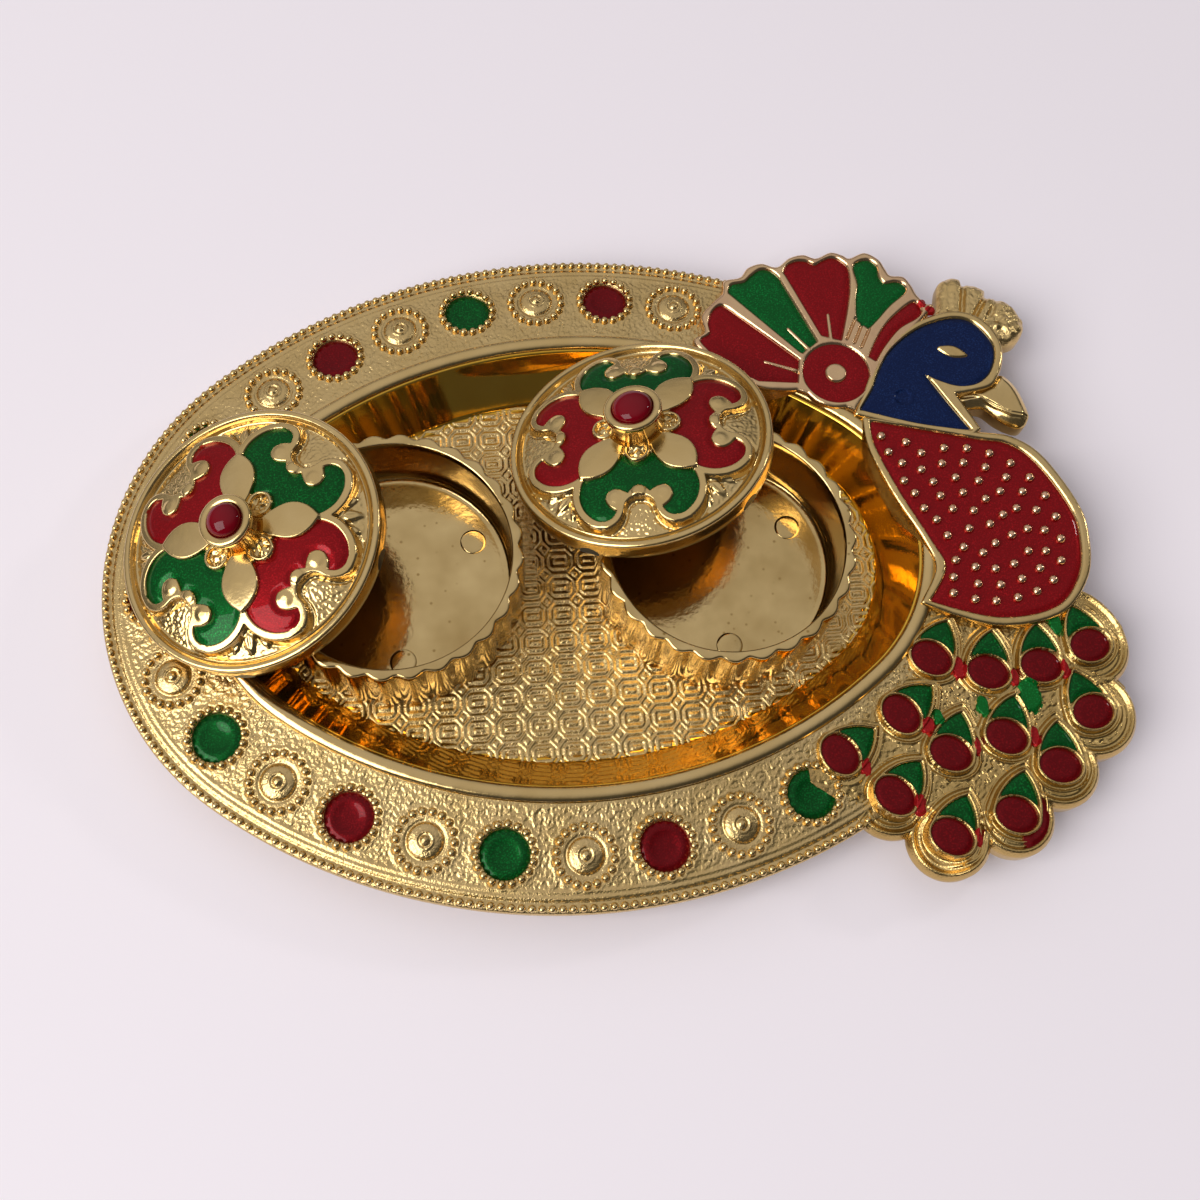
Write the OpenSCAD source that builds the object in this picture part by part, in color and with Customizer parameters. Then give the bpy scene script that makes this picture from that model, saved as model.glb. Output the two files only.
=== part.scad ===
// Peacock tikka plate: an oval tray with two covered cups, in millimetres.
// The origin is the middle of the oval on the table, +X points to the peacock and +Z up.

/* [Oval tray] */
// Length of the oval, without the peacock
oval_l = 140; // [138:0.5:142]
// Width of the oval
oval_w = 105; // [104:0.5:106]
// Radius of the oval's two ends
end_r = 43.2; // [42.6:0.1:43.8]
// Thickness of the well's floor
floor_t = 1.4; // [1.2:0.1:1.6]
// Height of the flange's outer edge above the table
edge_z = 7.5; // [7.3:0.1:7.7]
// Height of the flange beside the bead round the well
flange_z = 9.2; // [9:0.1:9.4]
// Thickness of the flange
flange_t = 1.5; // [1.3:0.1:1.7]
// Width of the flange, from the edge to the bead
flange_w = 15; // [14.8:0.1:15.2]
// Width of the bead round the well
bead_w = 2.4; // [2.2:0.1:2.6]
// Height of the bead above the flange
bead_h = 0.8; // [0.6:0.1:1]
// Horizontal run of the well's sloping wall
wall_run = 5.2; // [5:0.1:5.4]

/* [Dots on the flange] */
// Radius of a coloured dot
dot_r = 3.3; // [3:0.1:3.5]
// Distance of the dots' centres from the oval's edge
dot_inset = 7.8; // [7.6:0.1:8]
// Spacing of the dots along their row
dot_pitch = 11.2; // [11:0.05:11.3]
// Depth of the enamel in a dot's cell
dot_depth = 0.7; // [0.5:0.1:0.9]

/* [Cups] */
// Radius over the flutes
cup_r = 19.3; // [19.1:0.1:19.4]
// Height of a cup above the well's floor
cup_h = 13; // [12.8:0.1:13]
// Radius of the smooth bore
cup_bore_r = 17.5; // [17.4:0.1:17.7]
// Thickness of a cup's floor
cup_floor = 1.6; // [1.4:0.1:2]
// Flutes round a cup
flutes = 28; // [24:1:32]
// Depth of a flute
flute_d = 0.9; // [0.5:0.1:1]
// Radius of the two pegs that hold a cup to the tray
peg_r = 2; // [1.6:0.1:2.2]

/* [Lids] */
// Radius of a lid
lid_r = 19.8; // [19.7:0.05:19.85]
// Height of a lid's turned-down edge
lid_edge_h = 2.6; // [2.4:0.1:2.7]
// Outer radius of the lip that drops into a cup
lip_r = 17.2; // [16.9:0.1:17.3]
// How far the lip stands below the edge
lip_h = 1; // [0.8:0.1:1]
// Height of the knob above the lid's edge
knob_h = 7.4; // [6:0.1:9]
// Radius of the knob
knob_r = 4; // [3.8:0.1:4.2]
// Radius of the stone in the knob
ruby_r = 3; // [2.8:0.1:3.2]

/* [Peacock] */
// Height of the peacock's cell walls above the table
plaque_z = 10.6; // [10.4:0.1:10.8]
// Height of the peacock's underside above the table
plaque_under_z = 6.2; // [5.8:0.1:6.3]
// Depth of the enamel cells
cell_d = 1; // [0.8:0.1:1.2]
// Thickness of the enamel in a cell
enamel_t = 0.8; // [0.6:0.1:0.8]
// Height of the ground of the tail
tail_z = 9; // [8.8:0.1:9.2]
// Radius of the lobes along the tail's edge
lobe_r = 5.9; // [5.7:0.1:6]
// Radius of a red field in a tail feather
feather_red_r = 2.9; // [2.7:0.1:3]

/* [Hidden] */
$fn = 64;
gold = [0.83, 0.66, 0.32];
red = [0.55, 0.04, 0.05];
green = [0.02, 0.32, 0.09];
blue = [0.03, 0.08, 0.33];

// Four-centre oval: two end arcs and two side arcs that meet where their radii line up
half_l = oval_l / 2;
half_w = oval_w / 2;
side_r = (pow(half_l - end_r, 2) + half_w * half_w - end_r * end_r) / (2 * (half_w - end_r));
side_c = side_r - half_w;
joint = atan2(side_c, half_l - end_r);

// Heights and insets of the tray's ring
bead_mid = flange_w + bead_w / 2;
bead_in = flange_w + bead_w;
bead_z = flange_z + bead_h;
bead_ease = 0.4;
well_foot = bead_in + wall_run;
floor_lap = 1.4;
foot_low = 0.2;
seam_step = 0.02;
seam_lap = 0.3;
cut = 0.5;

// Places and turns of the two cups, and the angles of their pegs
cup_left_at = [-27, 0];
cup_right_at = [22.2, -1];
cup_turns = [0, -10];
points_per_flute = 6;
peg_ring_r = 13;
peg_angles = [18, -87];
peg_clear = 0.1;
peg_end_z = 0.3;

// Where the loose lids lie: middle of the edge's top, lean, direction of the lean, turn of the pattern
lid_left_at = [-46.6, 2.6, 17.2];
lid_left_lean = [16, 186];
lid_left_turn = 46;
lid_right_at = [10.55, 15, 16.05];
lid_right_lean = [18.3, 128];
lid_right_turn = 86;

// Heights on a lid, measured from the top of its edge
lid_wall = 1.2;
lid_skin = 0.9;
ring_w = 1.8;
ring_h = 0.3;
ground_edge = -0.4;
ground_mid = 0.6;
field_top = 1;
field_floor = 0.3;
field_enamel_top = 0.85;
petal_top = 1.4;
ruby_seat = 1;
ruby_dome = 1.4;

// Peacock outlines on the tray's plan. A third value of 0 makes a point a sharp corner.
hub_at = [43.7, 27.6];
hub_r = 5.2;
hub_dot_r = 1.75;
wall_w = 1.1;
fan_red_cells = [
  [[26.6, 41], [25.2, 39.7], [24.5, 37.8], [24.5, 36], [22.9, 34.6], [26.4, 30.4], [31.2, 27, 0],
   [37.3, 26.3, 0], [38.1, 30.3, 0], [32.8, 35.6], [28.8, 39.5], [27.8, 40.5]],
  [[38, 46.6], [38.8, 48], [40.4, 48.7], [42, 48.5], [43.3, 47.8], [44.7, 48.5], [46.2, 49], [47.6, 48.3],
   [48.6, 46.4], [47.9, 41.4], [45.4, 33.5, 0], [42.4, 34.6, 0], [38.5, 45.3]],
  [[58.3, 39.8], [59.4, 38.4], [58.6, 37], [55.2, 35.1], [52.4, 32.2], [50.4, 29.4, 0], [49.5, 30.2, 0],
   [51.9, 34.2], [54.6, 37.2]]];
fan_green_cells = [
  [[28.5, 43.4], [29.1, 44.8], [31.2, 45.2], [32.4, 46.2], [34.2, 47.4], [35.8, 47], [36.8, 45.9],
   [37.4, 44.4], [41.5, 33.5, 0], [38.7, 31.5, 0], [29.5, 42.1]],
  [[49.6, 46.8], [50.4, 47.9], [52.2, 48.2], [53.4, 47], [53.4, 45.2], [54.2, 43.7], [56, 43.8],
   [57.3, 43.2], [57.3, 41.8], [54.4, 39.5], [52, 37.1], [50.2, 35.4, 0], [48.6, 37, 0], [49.1, 40.6],
   [49.8, 43.7]]];
fan_outline = [[21.6, 34.6], [23.5, 36.4], [23.4, 39.4], [25.8, 42], [27.3, 43.4], [27.9, 45.7],
  [30.6, 46.3], [32.1, 48], [34.5, 48.7], [36.9, 47.9], [39.2, 49.5], [41.6, 50], [43.6, 49.2],
  [46.2, 50.2], [48.2, 49.5], [49.2, 48.9], [51.8, 49.8], [54, 48.4], [54.9, 46.4], [55.5, 45.2],
  [57.6, 44.8], [58.7, 43], [59.2, 41.4], [60.3, 39.6], [61.2, 38.4], [53, 30, 0], [44, 24, 0],
  [37, 24.8, 0], [31, 25.6], [25.2, 29.6]];
neck_cell = [[46.6, 20.9, 0], [49, 24.2], [50.6, 27.4], [52.9, 30.8], [56.4, 33.7], [60.2, 35.6],
  [64.5, 36.4], [67.6, 35.3], [69.7, 32], [69.8, 29.2], [68.3, 26.1], [66, 24.4], [63.2, 24.1], [60.6, 25],
  [58, 26.5, 0], [60.6, 21.4], [63.5, 16.2, 0], [55.2, 18]];
head_outline = [[45.4, 20, 0], [47.8, 24.6], [49.6, 28.2], [52, 31.6], [55.8, 34.8], [59.8, 36.8],
  [64.6, 37.8], [68.7, 36.3], [71.1, 32.6], [71.2, 28.8], [69.6, 25.2], [67.6, 23.4], [62.4, 22.6, 0],
  [65.2, 16.2, 0], [63, 14.4, 0], [55, 16.6]];
crest_outline = [[62.3, 37, 0], [63.1, 42.6], [64.9, 44.5], [66.7, 44.5], [68.2, 42.9], [69.8, 42.6],
  [71.2, 40.6], [73.4, 39.8], [75.8, 36.4], [75.6, 33.4], [73.6, 31.6], [70.4, 31.2, 0]];
crest_z = 9.8;
beak_outline = [[67, 22.6, 0], [70.8, 26, 0], [72.8, 21.8], [73.4, 17.8], [72.2, 16.4], [67, 18.8],
  [64.2, 20.9], [61.6, 22.4, 0]];
beak_z = 10;
beak_gap = [[63.4, 20, 0], [66.8, 18.2], [70, 16.2], [72, 12.8], [66.6, 15.8]];
breast_cell = [[47.9, 18.8, 0], [47.9, 14.6], [50.5, 6.4], [54, -2], [55.4, -6.6], [52.1, -11.6, 0],
  [61.8, -14.8], [70.8, -13.8], [75.4, -9], [76.9, -2.6], [76.2, 2.6], [72.6, 10.2], [69, 13.7],
  [63.6, 15]];
breast_outline = [[46.6, 19.6, 0], [46.6, 14.2], [49.2, 6], [52.6, -1.8], [53.6, -6.6], [50.4, -11.8, 0],
  [61, -16.2], [71.2, -15.2], [76.8, -9.6], [78.5, -2.6], [77.8, 3], [74, 11.2], [69.8, 15], [63.6, 16.4]];
tail_ground = [[50, -10], [76, -10], [75, -20], [73.2, -30.1], [66.7, -37.6], [58.9, -44.1], [49.1, -46.4],
  [42, -40], [35.1, -33.5]];
// Tail feathers: middle of the red field and the direction of the green tip
feathers = [[50.8, -20.2, 58], [58.9, -23, 75], [67, -22.6, 85], [75, -20, 103], [73.2, -30.1, 104],
  [44.9, -28.3, 36], [51.1, -34.6, 66], [59.7, -32.8, 68], [66.7, -37.6, 83], [35.1, -33.5, 31],
  [42, -40, 45], [49.1, -46.4, 60], [58.9, -44.1, 69]];
lobed_feathers = [3, 4, 8, 10, 11, 12];
feather_z = 9.9;
feather_wall = 0.7;
feather_divide = 0.5;
tip_arc_r = 5.6;
tip_arc_at = [2.5, 3.2];

// Half of a lid's scroll field: x points outward from the knob, y is to one side of the field's own axis
field_half = [[6.6, 0], [5.2, 1.8], [5.6, 4.4], [7.8, 7.2, 0], [9.2, 8.2], [11.2, 8.6], [13.4, 8], [15, 6.6],
  [15.5, 5], [15.1, 3.6], [14.2, 2.8, 0], [13.5, 4], [12.6, 4.7], [11.6, 4.5], [11, 3.6], [11.2, 2.4],
  [11.7, 1.5, 0], [10.9, 0.9], [10.6, 0]];
field_wall_half = [[3.2, 0], [4.6, 4.2], [5.8, 7.8, 0], [8.8, 9.4], [11.4, 9.8], [14, 9.1], [16, 7.3],
  [16.7, 5.2], [16.2, 3], [14.4, 1.5], [12.6, 0]];
petal_len = 8;
petal_w = 5;
petal_start = 3.4;
petal_lean = 0.8;
petal_rim = 0.3;

// Closed curve through its points: each stretch is a cubic whose end slopes come from the neighbours
function slope(p, before, after) = (len(p) == 3 ? 0 : 0.5) * [after[0] - before[0], after[1] - before[1]];
function cubic(a, ma, b, mb, t) =
  (2 * pow(t, 3) - 3 * pow(t, 2) + 1) * [a[0], a[1]] + (pow(t, 3) - 2 * pow(t, 2) + t) * ma
  + (3 * pow(t, 2) - 2 * pow(t, 3)) * [b[0], b[1]] + (pow(t, 3) - pow(t, 2)) * mb;
function loop(pts, steps = 3) = let (n = len(pts))
  [for (i = [0 : n - 1])
    let (o = pts[(i + n - 1) % n], a = pts[i], b = pts[(i + 1) % n], c = pts[(i + 2) % n])
    for (k = [0 : steps - 1]) cubic(a, slope(a, o, b), b, slope(b, a, c), k / steps)];

// A half outline and its mirror image in one loop: the first and last points lie on the axis
function both_sides(half) = concat(half, [for (i = [len(half) - 2 : -1 : 1])
  len(half[i]) == 3 ? [half[i][0], -half[i][1], 0] : [half[i][0], -half[i][1]]]);

// Point of the oval at an inset, for the direction of its outward normal
function fold(t) = abs(((t % 360) + 540) % 360 - 180);
function oval_centre(t) = fold(t) <= joint ? [half_l - end_r, 0]
  : fold(t) >= 180 - joint ? [end_r - half_l, 0] : [0, sin(t) > 0 ? -side_c : side_c];
function oval_radius(t) = fold(t) <= joint || fold(t) >= 180 - joint ? end_r : side_r;
function oval_point(t, inset) = oval_centre(t) + (oval_radius(t) - inset) * [cos(t), sin(t)];

// Direction of the normal at a distance along the oval of the dots, counted from +X anticlockwise
end_run = (end_r - dot_inset) * joint * PI / 180;
side_run = (side_r - dot_inset) * (180 - 2 * joint) * PI / 180;
function along(s) = s < end_run ? s / (end_r - dot_inset) * 180 / PI
  : s < end_run + side_run ? joint + (s - end_run) / (side_r - dot_inset) * 180 / PI
  : s < 3 * end_run + side_run ? 180 - joint + (s - end_run - side_run) / (end_r - dot_inset) * 180 / PI
  : 180 + joint + (s - 3 * end_run - side_run) / (side_r - dot_inset) * 180 / PI;

// The row of dots runs from the peacock's fan round the left end to its tail; every other one is coloured
row_start = 64.9;
row_low_start = 184;
row_top = 7;
row_hidden = 3;
row_low = 10;
hidden_pitch = (row_low_start - row_start - (row_top - 1) * dot_pitch) / (row_hidden + 1);
row = concat([for (i = [0 : row_top - 1]) row_start + i * dot_pitch],
  [for (i = [1 : row_hidden]) row_low_start - (row_hidden + 1 - i) * hidden_pitch],
  [for (i = [0 : row_low - 1]) row_low_start + i * dot_pitch]);
red_dots = [1, 5, 9, 13, 17];
green_dots = [3, 7, 11, 15, 19];
plain_dots = [for (i = [0 : 2 : len(row) - 1]) i];
plain_dot_h = 0.4;
pip_r = 1;
pip_h = 0.9;
dot_z = edge_z + (flange_z - edge_z) * dot_inset / flange_w;

// Profile of the tray's ring as [inset from the edge, height]; its foot ends inside the floor
foot_z = floor_t / 2;
foot_in = well_foot + (floor_t - foot_z) * wall_run / (flange_z - floor_t);
tray_profile = [[0, edge_z - flange_t], [0, edge_z], [flange_w, flange_z],
  [flange_w + bead_ease, bead_z - bead_ease / 2], [bead_mid, bead_z],
  [bead_in - bead_ease, bead_z - bead_ease / 2], [bead_in, flange_z], [foot_in, foot_z],
  [well_foot - floor_lap, foot_low], [flange_w, flange_z - flange_t]];

// A closed profile drawn clockwise, with every side moved inward by d
function unit(v) = v / norm(v);
function inward(a, b) = let (u = unit(b - a)) [u[1], -u[0]];
function thinned(pts, d) = let (n = len(pts))
  [for (i = [0 : n - 1])
    let (m = inward(pts[(i + n - 1) % n], pts[i]), k = inward(pts[i], pts[(i + 1) % n]))
    pts[i] + d * (m + k) / (1 + m * k)];

// The long sides run a little way into the ends and are a hair thinner, so the four arcs fuse
module oval_ring(profile) {
  side_profile = thinned(profile, seam_step);
  side_joint = joint - seam_lap;
  for (side = [0, 180])
    rotate(side) {
      translate([half_l - end_r, 0, 0])
        rotate(-joint)
          rotate_extrude(angle = 2 * joint)
            polygon([for (p = profile) [end_r - p[0], p[1]]]);
      translate([0, -side_c, 0])
        rotate(side_joint)
          rotate_extrude(angle = 180 - 2 * side_joint)
            polygon([for (p = side_profile) [side_r - p[0], p[1]]]);
    }
}

module well_floor() {
  linear_extrude(floor_t)
    polygon([for (t = [0 : 5 : 355]) oval_point(t, well_foot - floor_lap / 2)]);
}

module slab(points, low, high) {
  translate([0, 0, low])
    linear_extrude(high - low)
      polygon(loop(points));
}

module at_dots(which) {
  for (i = which)
    translate(concat(oval_point(along(row[i]), dot_inset), [0]))
      children();
}

module plain_dots_relief() {
  at_dots(plain_dots)
    translate([0, 0, dot_z - cut]) {
      cylinder(r = dot_r, h = cut + plain_dot_h);
      cylinder(r = pip_r, h = cut + pip_h);
    }
}

module hub_ring(low, high) {
  translate([hub_at[0], hub_at[1], low])
    linear_extrude(high - low)
      difference() {
        circle(hub_r);
        circle(hub_dot_r);
      }
}

module at_feathers(which) {
  for (i = which)
    translate([feathers[i][0], feathers[i][1], 0])
      rotate(feathers[i][2])
        children();
}

// Two arcs that meet in a point at each end, grown by a wall's thickness
module feather_lens(grown) {
  intersection_for (side = [-1, 1])
    translate([tip_arc_at[0], side * tip_arc_at[1]])
      circle(tip_arc_r + grown);
}

module feather_tip() {
  difference() {
    feather_lens(0);
    circle(feather_red_r + feather_divide);
  }
}

all_feathers = [0 : len(feathers) - 1];

module tail_relief() {
  translate([0, 0, plaque_under_z])
    linear_extrude(tail_z - plaque_under_z) {
      polygon(tail_ground);
      at_feathers(lobed_feathers)
        circle(lobe_r);
    }
  at_feathers(all_feathers)
    translate([0, 0, tail_z - cut])
      linear_extrude(feather_z - tail_z + cut) {
        circle(feather_red_r + feather_wall);
        difference() {
          feather_lens(feather_wall);
          translate([-tip_arc_r, -tip_arc_r])
            square([tip_arc_r, 2 * tip_arc_r]);
        }
      }
}

module tray() {
  cell_z = plaque_z - cell_d;
  feather_cell_z = feather_z - cell_d;
  color(gold)
    difference() {
      union() {
        difference() {
          oval_ring(tray_profile);
          slab(beak_gap, 0, plaque_z);
        }
        well_floor();
        plain_dots_relief();
        slab(fan_outline, plaque_under_z, plaque_z);
        translate([hub_at[0], hub_at[1], plaque_under_z])
          cylinder(r = hub_r + wall_w, h = plaque_z - plaque_under_z);
        slab(head_outline, plaque_under_z, plaque_z);
        slab(crest_outline, plaque_under_z, crest_z);
        slab(beak_outline, plaque_under_z, beak_z);
        slab(breast_outline, plaque_under_z, plaque_z);
        tail_relief();
      }
      at_dots(concat(red_dots, green_dots))
        translate([0, 0, dot_z - dot_depth])
          cylinder(r = dot_r, h = dot_depth + cut);
      for (cell = concat(fan_red_cells, fan_green_cells, [neck_cell, breast_cell]))
        slab(cell, cell_z, plaque_z + cut);
      hub_ring(cell_z, plaque_z + cut);
      at_feathers(all_feathers)
        translate([0, 0, feather_cell_z])
          linear_extrude(cell_d + cut) {
            circle(feather_red_r);
            feather_tip();
          }
      for (cup = [0, 1])
        at_pegs(cup)
          translate([0, 0, -cut])
            cylinder(r = peg_r + peg_clear, h = floor_t + 2 * cut);
    }
}

module rim_enamel(which) {
  at_dots(which)
    translate([0, 0, dot_z - dot_depth])
      cylinder(r = dot_r, h = dot_depth);
}

module rim_red_enamel() {
  color(red)
    rim_enamel(red_dots);
}

module rim_green_enamel() {
  color(green)
    rim_enamel(green_dots);
}

// Enamel poured into flat cells of the peacock
module fill(cells) {
  for (cell = cells)
    slab(cell, plaque_z - cell_d, plaque_z - cell_d + enamel_t);
}

module fan_red_enamel() {
  color(red)
    fill(fan_red_cells);
}

module fan_green_enamel() {
  color(green)
    fill(fan_green_cells);
}

module hub_red_enamel() {
  color(red)
    hub_ring(plaque_z - cell_d, plaque_z - cell_d + enamel_t);
}

module neck_blue_enamel() {
  color(blue)
    fill([neck_cell]);
}

module breast_red_enamel() {
  color(red)
    fill([breast_cell]);
}

module tail_red_enamel() {
  color(red)
    at_feathers(all_feathers)
      translate([0, 0, feather_z - cell_d])
        cylinder(r = feather_red_r, h = enamel_t);
}

module tail_green_enamel() {
  color(green)
    at_feathers(all_feathers)
      translate([0, 0, feather_z - cell_d])
        linear_extrude(enamel_t)
          feather_tip();
}

module at_pegs(cup) {
  at = cup == 0 ? cup_left_at : cup_right_at;
  for (angle = peg_angles)
    translate([at[0], at[1], 0])
      rotate(angle + cup_turns[cup])
        translate([peg_ring_r, 0, 0])
          children();
}

// A cup's wall is fluted outside by a cosine wave and bored smooth; its pegs end inside the tray's floor
module cup(which) {
  at = which == 0 ? cup_left_at : cup_right_at;
  steps = flutes * points_per_flute;
  color(gold) {
    translate([at[0], at[1], floor_t])
      rotate(cup_turns[which])
        difference() {
          linear_extrude(cup_h)
            polygon([for (i = [0 : steps - 1]) let (t = i * 360 / steps)
              (cup_r - flute_d / 2 + flute_d / 2 * cos(flutes * t)) * [cos(t), sin(t)]]);
          translate([0, 0, cup_floor])
            cylinder(r = cup_bore_r, h = cup_h);
        }
    at_pegs(which)
      translate([0, 0, peg_end_z])
        cylinder(r = peg_r, h = floor_t - peg_end_z + cup_floor / 2);
  }
}

module cup_left() {
  cup(0);
}

module cup_right() {
  cup(1);
}

module place_lid(at, lean, turn) {
  translate(at)
    rotate([0, lean[0], lean[1]])
      rotate(turn - lean[1])
        children();
}

// Leaf whose half width is a sine of the way along it, drawn out to a point and grown by a margin
module petal_plan(margin) {
  steps = 12;
  outline = [for (i = [0 : steps]) let (s = i / steps)
    [petal_start - margin + (petal_len + 2 * margin) * s,
     (petal_w / 2 + margin) * sin(180 * pow(s, petal_lean))]];
  polygon(concat(outline, [for (i = [steps - 1 : -1 : 1]) [outline[i][0], -outline[i][1]]]));
}

module petal() {
  translate([0, 0, field_floor])
    linear_extrude(petal_top - field_floor)
      petal_plan(0);
}

// Scroll fields end at the petals beside them
module scroll_fields(which, top = field_enamel_top) {
  translate([0, 0, field_floor])
    for (quarter = which)
      rotate(90 * quarter)
        linear_extrude(top - field_floor)
          difference() {
            polygon(loop(both_sides(field_half), 2));
            for (side = [-45, 45])
              rotate(side)
                petal_plan(petal_rim);
          }
}

// Turned section of a lid: domed top inside a raised ring, turned-down edge, lip for the cup's bore, knob
module lid_turned() {
  under = ground_edge - lid_skin;
  rotate_extrude()
    polygon([[0, under], [lip_r - lid_wall, under], [lip_r - lid_wall, -lid_edge_h - lip_h],
      [lip_r, -lid_edge_h - lip_h], [lip_r, under], [lid_r - lid_wall, under],
      [lid_r - lid_wall, -lid_edge_h], [lid_r, -lid_edge_h], [lid_r, 0], [lid_r - ring_h, ring_h],
      [lid_r - ring_w + ring_h, ring_h], [lid_r - ring_w, ground_edge], [knob_r, ground_mid],
      [knob_r, knob_h], [ruby_r, knob_h], [ruby_r, knob_h - ruby_seat], [0, knob_h - ruby_seat]]);
}

module lid() {
  difference() {
    union() {
      lid_turned();
      for (quarter = [0 : 3])
        rotate(90 * quarter) {
          translate([0, 0, ground_edge - cut])
            linear_extrude(field_top - ground_edge + cut)
              polygon(loop(both_sides(field_wall_half), 2));
          rotate(45)
            petal();
        }
    }
    scroll_fields([0 : 3], field_top + cut);
  }
}

// Cabochon: a short cylinder in the knob's seat under the cap of a sphere
module ruby() {
  ball_r = (ruby_r * ruby_r + ruby_dome * ruby_dome) / (2 * ruby_dome);
  translate([0, 0, knob_h - ruby_seat]) {
    cylinder(r = ruby_r, h = ruby_seat);
    translate([0, 0, ruby_seat])
      intersection() {
        translate([0, 0, ruby_dome - ball_r])
          sphere(ball_r);
        cylinder(r = ruby_r, h = ruby_dome + cut);
      }
  }
}

module on_left_lid() {
  place_lid(lid_left_at, lid_left_lean, lid_left_turn)
    children();
}

module on_right_lid() {
  place_lid(lid_right_at, lid_right_lean, lid_right_turn)
    children();
}

module lid_left() {
  color(gold)
    on_left_lid()
      lid();
}

module ruby_left() {
  color(red)
    on_left_lid()
      ruby();
}

module lid_left_red_enamel() {
  color(red)
    on_left_lid()
      scroll_fields([1, 3]);
}

module lid_left_green_enamel() {
  color(green)
    on_left_lid()
      scroll_fields([0, 2]);
}

module lid_right() {
  color(gold)
    on_right_lid()
      lid();
}

module ruby_right() {
  color(red)
    on_right_lid()
      ruby();
}

module lid_right_red_enamel() {
  color(red)
    on_right_lid()
      scroll_fields([1, 3]);
}

module lid_right_green_enamel() {
  color(green)
    on_right_lid()
      scroll_fields([0, 2]);
}

tray();
rim_red_enamel();
rim_green_enamel();
fan_red_enamel();
fan_green_enamel();
hub_red_enamel();
neck_blue_enamel();
breast_red_enamel();
tail_red_enamel();
tail_green_enamel();
cup_left();
cup_right();
lid_left();
ruby_left();
lid_left_red_enamel();
lid_left_green_enamel();
lid_right();
ruby_right();
lid_right_red_enamel();
lid_right_green_enamel();
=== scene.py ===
import bpy
import numpy as np
from mathutils import Matrix


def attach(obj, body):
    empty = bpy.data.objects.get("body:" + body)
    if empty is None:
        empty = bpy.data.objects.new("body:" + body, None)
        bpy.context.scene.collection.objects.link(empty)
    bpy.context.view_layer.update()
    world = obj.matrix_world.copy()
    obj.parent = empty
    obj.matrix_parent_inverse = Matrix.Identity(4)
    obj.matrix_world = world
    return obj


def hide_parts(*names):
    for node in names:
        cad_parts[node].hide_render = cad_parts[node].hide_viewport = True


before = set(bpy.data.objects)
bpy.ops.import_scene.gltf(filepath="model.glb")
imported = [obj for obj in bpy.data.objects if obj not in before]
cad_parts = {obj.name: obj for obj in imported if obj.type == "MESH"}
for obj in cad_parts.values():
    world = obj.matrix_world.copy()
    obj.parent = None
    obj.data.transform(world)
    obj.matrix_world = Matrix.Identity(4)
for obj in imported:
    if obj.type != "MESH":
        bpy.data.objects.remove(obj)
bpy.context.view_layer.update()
bpy.context.scene.view_settings.view_transform = "Standard"

# The flange is the broad sloping border of the tray, a plastic moulding plated with bright gold.
# Its oval is drawn with four arcs. The mould gave it a fine grain, a smooth lip, a groove behind the lip
# and a scalloped seat for every dot of the row. It ends inside the peacock's fan and under its tail.
mm = 0.001
half_l, half_w, end_r = 70.0, 52.5, 43.2
side_r = ((half_l - end_r) ** 2 + half_w**2 - end_r**2) / (2 * (half_w - end_r))
side_c = side_r - half_w
end_c = half_l - end_r
joint = np.arctan2(side_c, end_c)
edge_z, flange_z, flange_t, flange_w = 7.5, 9.2, 1.5, 15.0
flange_from, flange_to = np.radians(66), np.radians(325)
full_turn = np.linspace(0, 2 * np.pi, 7201)
grain_cells, grain_c, grain_s = 512, 0.83, 0.56
random_heights = np.random.default_rng(7).uniform(-1, 1, (grain_cells, grain_cells))
tone_mm, pit_mm = 6.25, 1.9


def ease(x, low, high):
    """Smooth step: 0 below low, 1 above high and a cubic in between."""
    t = np.clip((x - low) / (high - low), 0, 1)
    return t * t * (3 - 2 * t)


def hump(x, middle, half):
    """Round ridge: a cosine hill of height 1 at the middle that ends a half width to each side."""
    return 0.5 + 0.5 * np.cos(np.pi * np.clip((x - middle) / half, -1, 1))


def grain(x, y, size):
    """Cast grain from -1 to 1: random heights on a turned grid, eased from each to the next."""
    x, y = (grain_c * x + grain_s * y) / size, (grain_c * y - grain_s * x) / size
    i, j = np.floor(x).astype(int), np.floor(y).astype(int)
    a, b = ease(x - i, 0, 1), ease(y - j, 0, 1)
    i, j, k, m = (n % grain_cells for n in (i, j, i + 1, j + 1))
    near = random_heights[i, j] * (1 - a) + random_heights[k, j] * a
    far = random_heights[i, m] * (1 - a) + random_heights[k, m] * a
    return near * (1 - b) + far * b


def ridges(x, rows):
    """Sum of round ridges, each with its height, middle and half width. A groove's height is negative."""
    return sum(height * hump(x, middle, half) for height, middle, half in rows)


def grains(x, y, coats):
    """Sum of cast grains, each with its height and the size of its lumps."""
    return sum(height * grain(x, y, size) for height, size in coats)


def oval(t, inset):
    """Point of the oval where its normal has direction t: the arc's centre plus the radius less the inset."""
    fold = np.abs((t + np.pi) % (2 * np.pi) - np.pi)
    right, left = fold <= joint, fold >= np.pi - joint
    radius = np.where(right | left, end_r, side_r) - inset
    x = np.where(right, end_c, np.where(left, -end_c, 0)) + radius * np.cos(t)
    y = np.where(right | left, 0, -np.sign(np.sin(t)) * side_c) + radius * np.sin(t)
    return x, y


def lengths(inset):
    """Length along the oval at an inset, from +X anticlockwise to each direction of the full turn."""
    x, y = oval(full_turn, inset)
    return np.concatenate([[0], np.cumsum(np.hypot(np.diff(x), np.diff(y)))])


def flange_height(inset):
    """The flange's plain slope, from its edge up to the bead round the well."""
    return edge_z + (flange_z - edge_z) * inset / flange_w


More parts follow.
